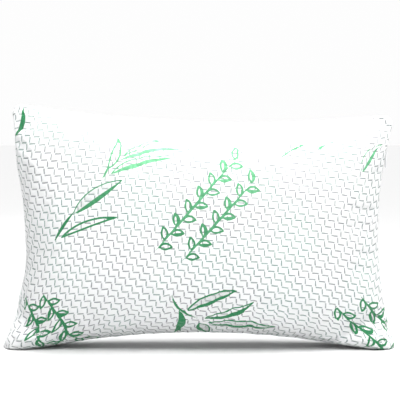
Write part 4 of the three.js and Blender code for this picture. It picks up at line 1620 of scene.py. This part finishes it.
def studio(look):
    """Even light from all round, with a brighter plain background."""
    world = bpy.data.worlds.new("studio")
    world.use_nodes = True
    tree = world.node_tree
    sky = tree.nodes["Background"]
    sky.inputs["Color"].default_value = (1.0, 1.0, 1.0, 1.0)
    seen = tree.nodes.new("ShaderNodeLightPath").outputs["Is Camera Ray"]
    strength = tree.nodes.new("ShaderNodeMapRange")
    strength.inputs["To Min"].default_value = look.sky
    strength.inputs["To Max"].default_value = look.backdrop
    tree.links.new(seen, strength.inputs["Value"])
    tree.links.new(strength.outputs["Result"], sky.inputs["Strength"])
    return world


class PILLOW_OT_stage(bpy.types.Operator):
    """Set the camera, the soft lights and the pale floor"""

    bl_idname = "pillow.stage"
    bl_label = "Stage"

    def execute(self, context):
        look = context.scene.pillow_stage
        bpy.ops.object.select_all(action="DESELECT")
        bpy.ops.mesh.primitive_circle_add(vertices=96, radius=30.0, fill_type="NGON")
        floor = context.object
        floor.name = "floor"
        floor.data.materials.append(floor_finish(context))
        camera = bpy.data.objects.new("camera", bpy.data.cameras.new("camera"))
        context.scene.collection.objects.link(camera)
        camera.data.lens = look.lens
        camera.data.clip_end = 100.0
        a, e = look.azimuth, look.elevation
        back = Vector((math.sin(a) * math.cos(e), -math.cos(a) * math.cos(e), math.sin(e)))
        camera.location = Vector(look.aim) + back * look.distance
        aim_at(camera, look.aim)
        context.scene.camera = camera
        soft_light("key", (0.2, -0.32, 1.12), (0.03, 0.0, 0.4), 1.1, 0.3, look.key)
        soft_light("front_fill", (1.8, -1.9, 1.5), (0.0, 0.0, 0.2), 2.4, 1.0, look.fill)
        soft_light("back_fill", (-1.4, 2.2, 0.9), (0.0, 0.0, 0.2), 2.4, 1.0, look.fill)
        broad = bpy.data.lights.new("overhead", "SUN")
        broad.energy, broad.angle = look.overhead, math.radians(28)
        lamp = bpy.data.objects.new("overhead", broad)
        lamp.rotation_euler.x = math.radians(-14)
        context.scene.collection.objects.link(lamp)
        context.scene.world = studio(look)
        context.scene.view_settings.view_transform = "Standard"
        return {"FINISHED"}


class PILLOW_PT_sidebar(bpy.types.Panel):
    """The pillow's sizes, colours and build steps"""

    bl_label = "Pillow"
    bl_idname = "PILLOW_PT_sidebar"
    bl_space_type = "VIEW_3D"
    bl_region_type = "UI"
    bl_category = "Pillow"

    def draw(self, context):
        for group in GROUPS:
            box = self.layout.box()
            box.label(text=group.__doc__)
            for name in group.__annotations__:
                box.prop(getattr(context.scene, GROUPS[group]), name)
        for operator in OPERATORS:
            self.layout.operator(operator.bl_idname)


GROUPS = {PillowShape: "pillow_shape", KnitLook: "pillow_knit", ZipSizes: "pillow_zip",
          InnerLook: "pillow_inner", StageLook: "pillow_stage"}
OPERATORS = (PILLOW_OT_cover, PILLOW_OT_liner, PILLOW_OT_foam, PILLOW_OT_seams, PILLOW_OT_coils,
             PILLOW_OT_tapes, PILLOW_OT_topstitching, PILLOW_OT_metal, PILLOW_OT_stage)
CLASSES = (*GROUPS, *OPERATORS, PILLOW_PT_sidebar)


def register():
    for cls in CLASSES:
        bpy.utils.register_class(cls)
    for group, name in GROUPS.items():
        setattr(bpy.types.Scene, name, PointerProperty(type=group))


def unregister():
    for name in GROUPS.values():
        delattr(bpy.types.Scene, name)
    for cls in reversed(CLASSES):
        bpy.utils.unregister_class(cls)


def main():
    register()
    for operator in OPERATORS:
        family, name = operator.bl_idname.split(".")
        getattr(getattr(bpy.ops, family), name)()


if __name__ == "__main__":
    main()
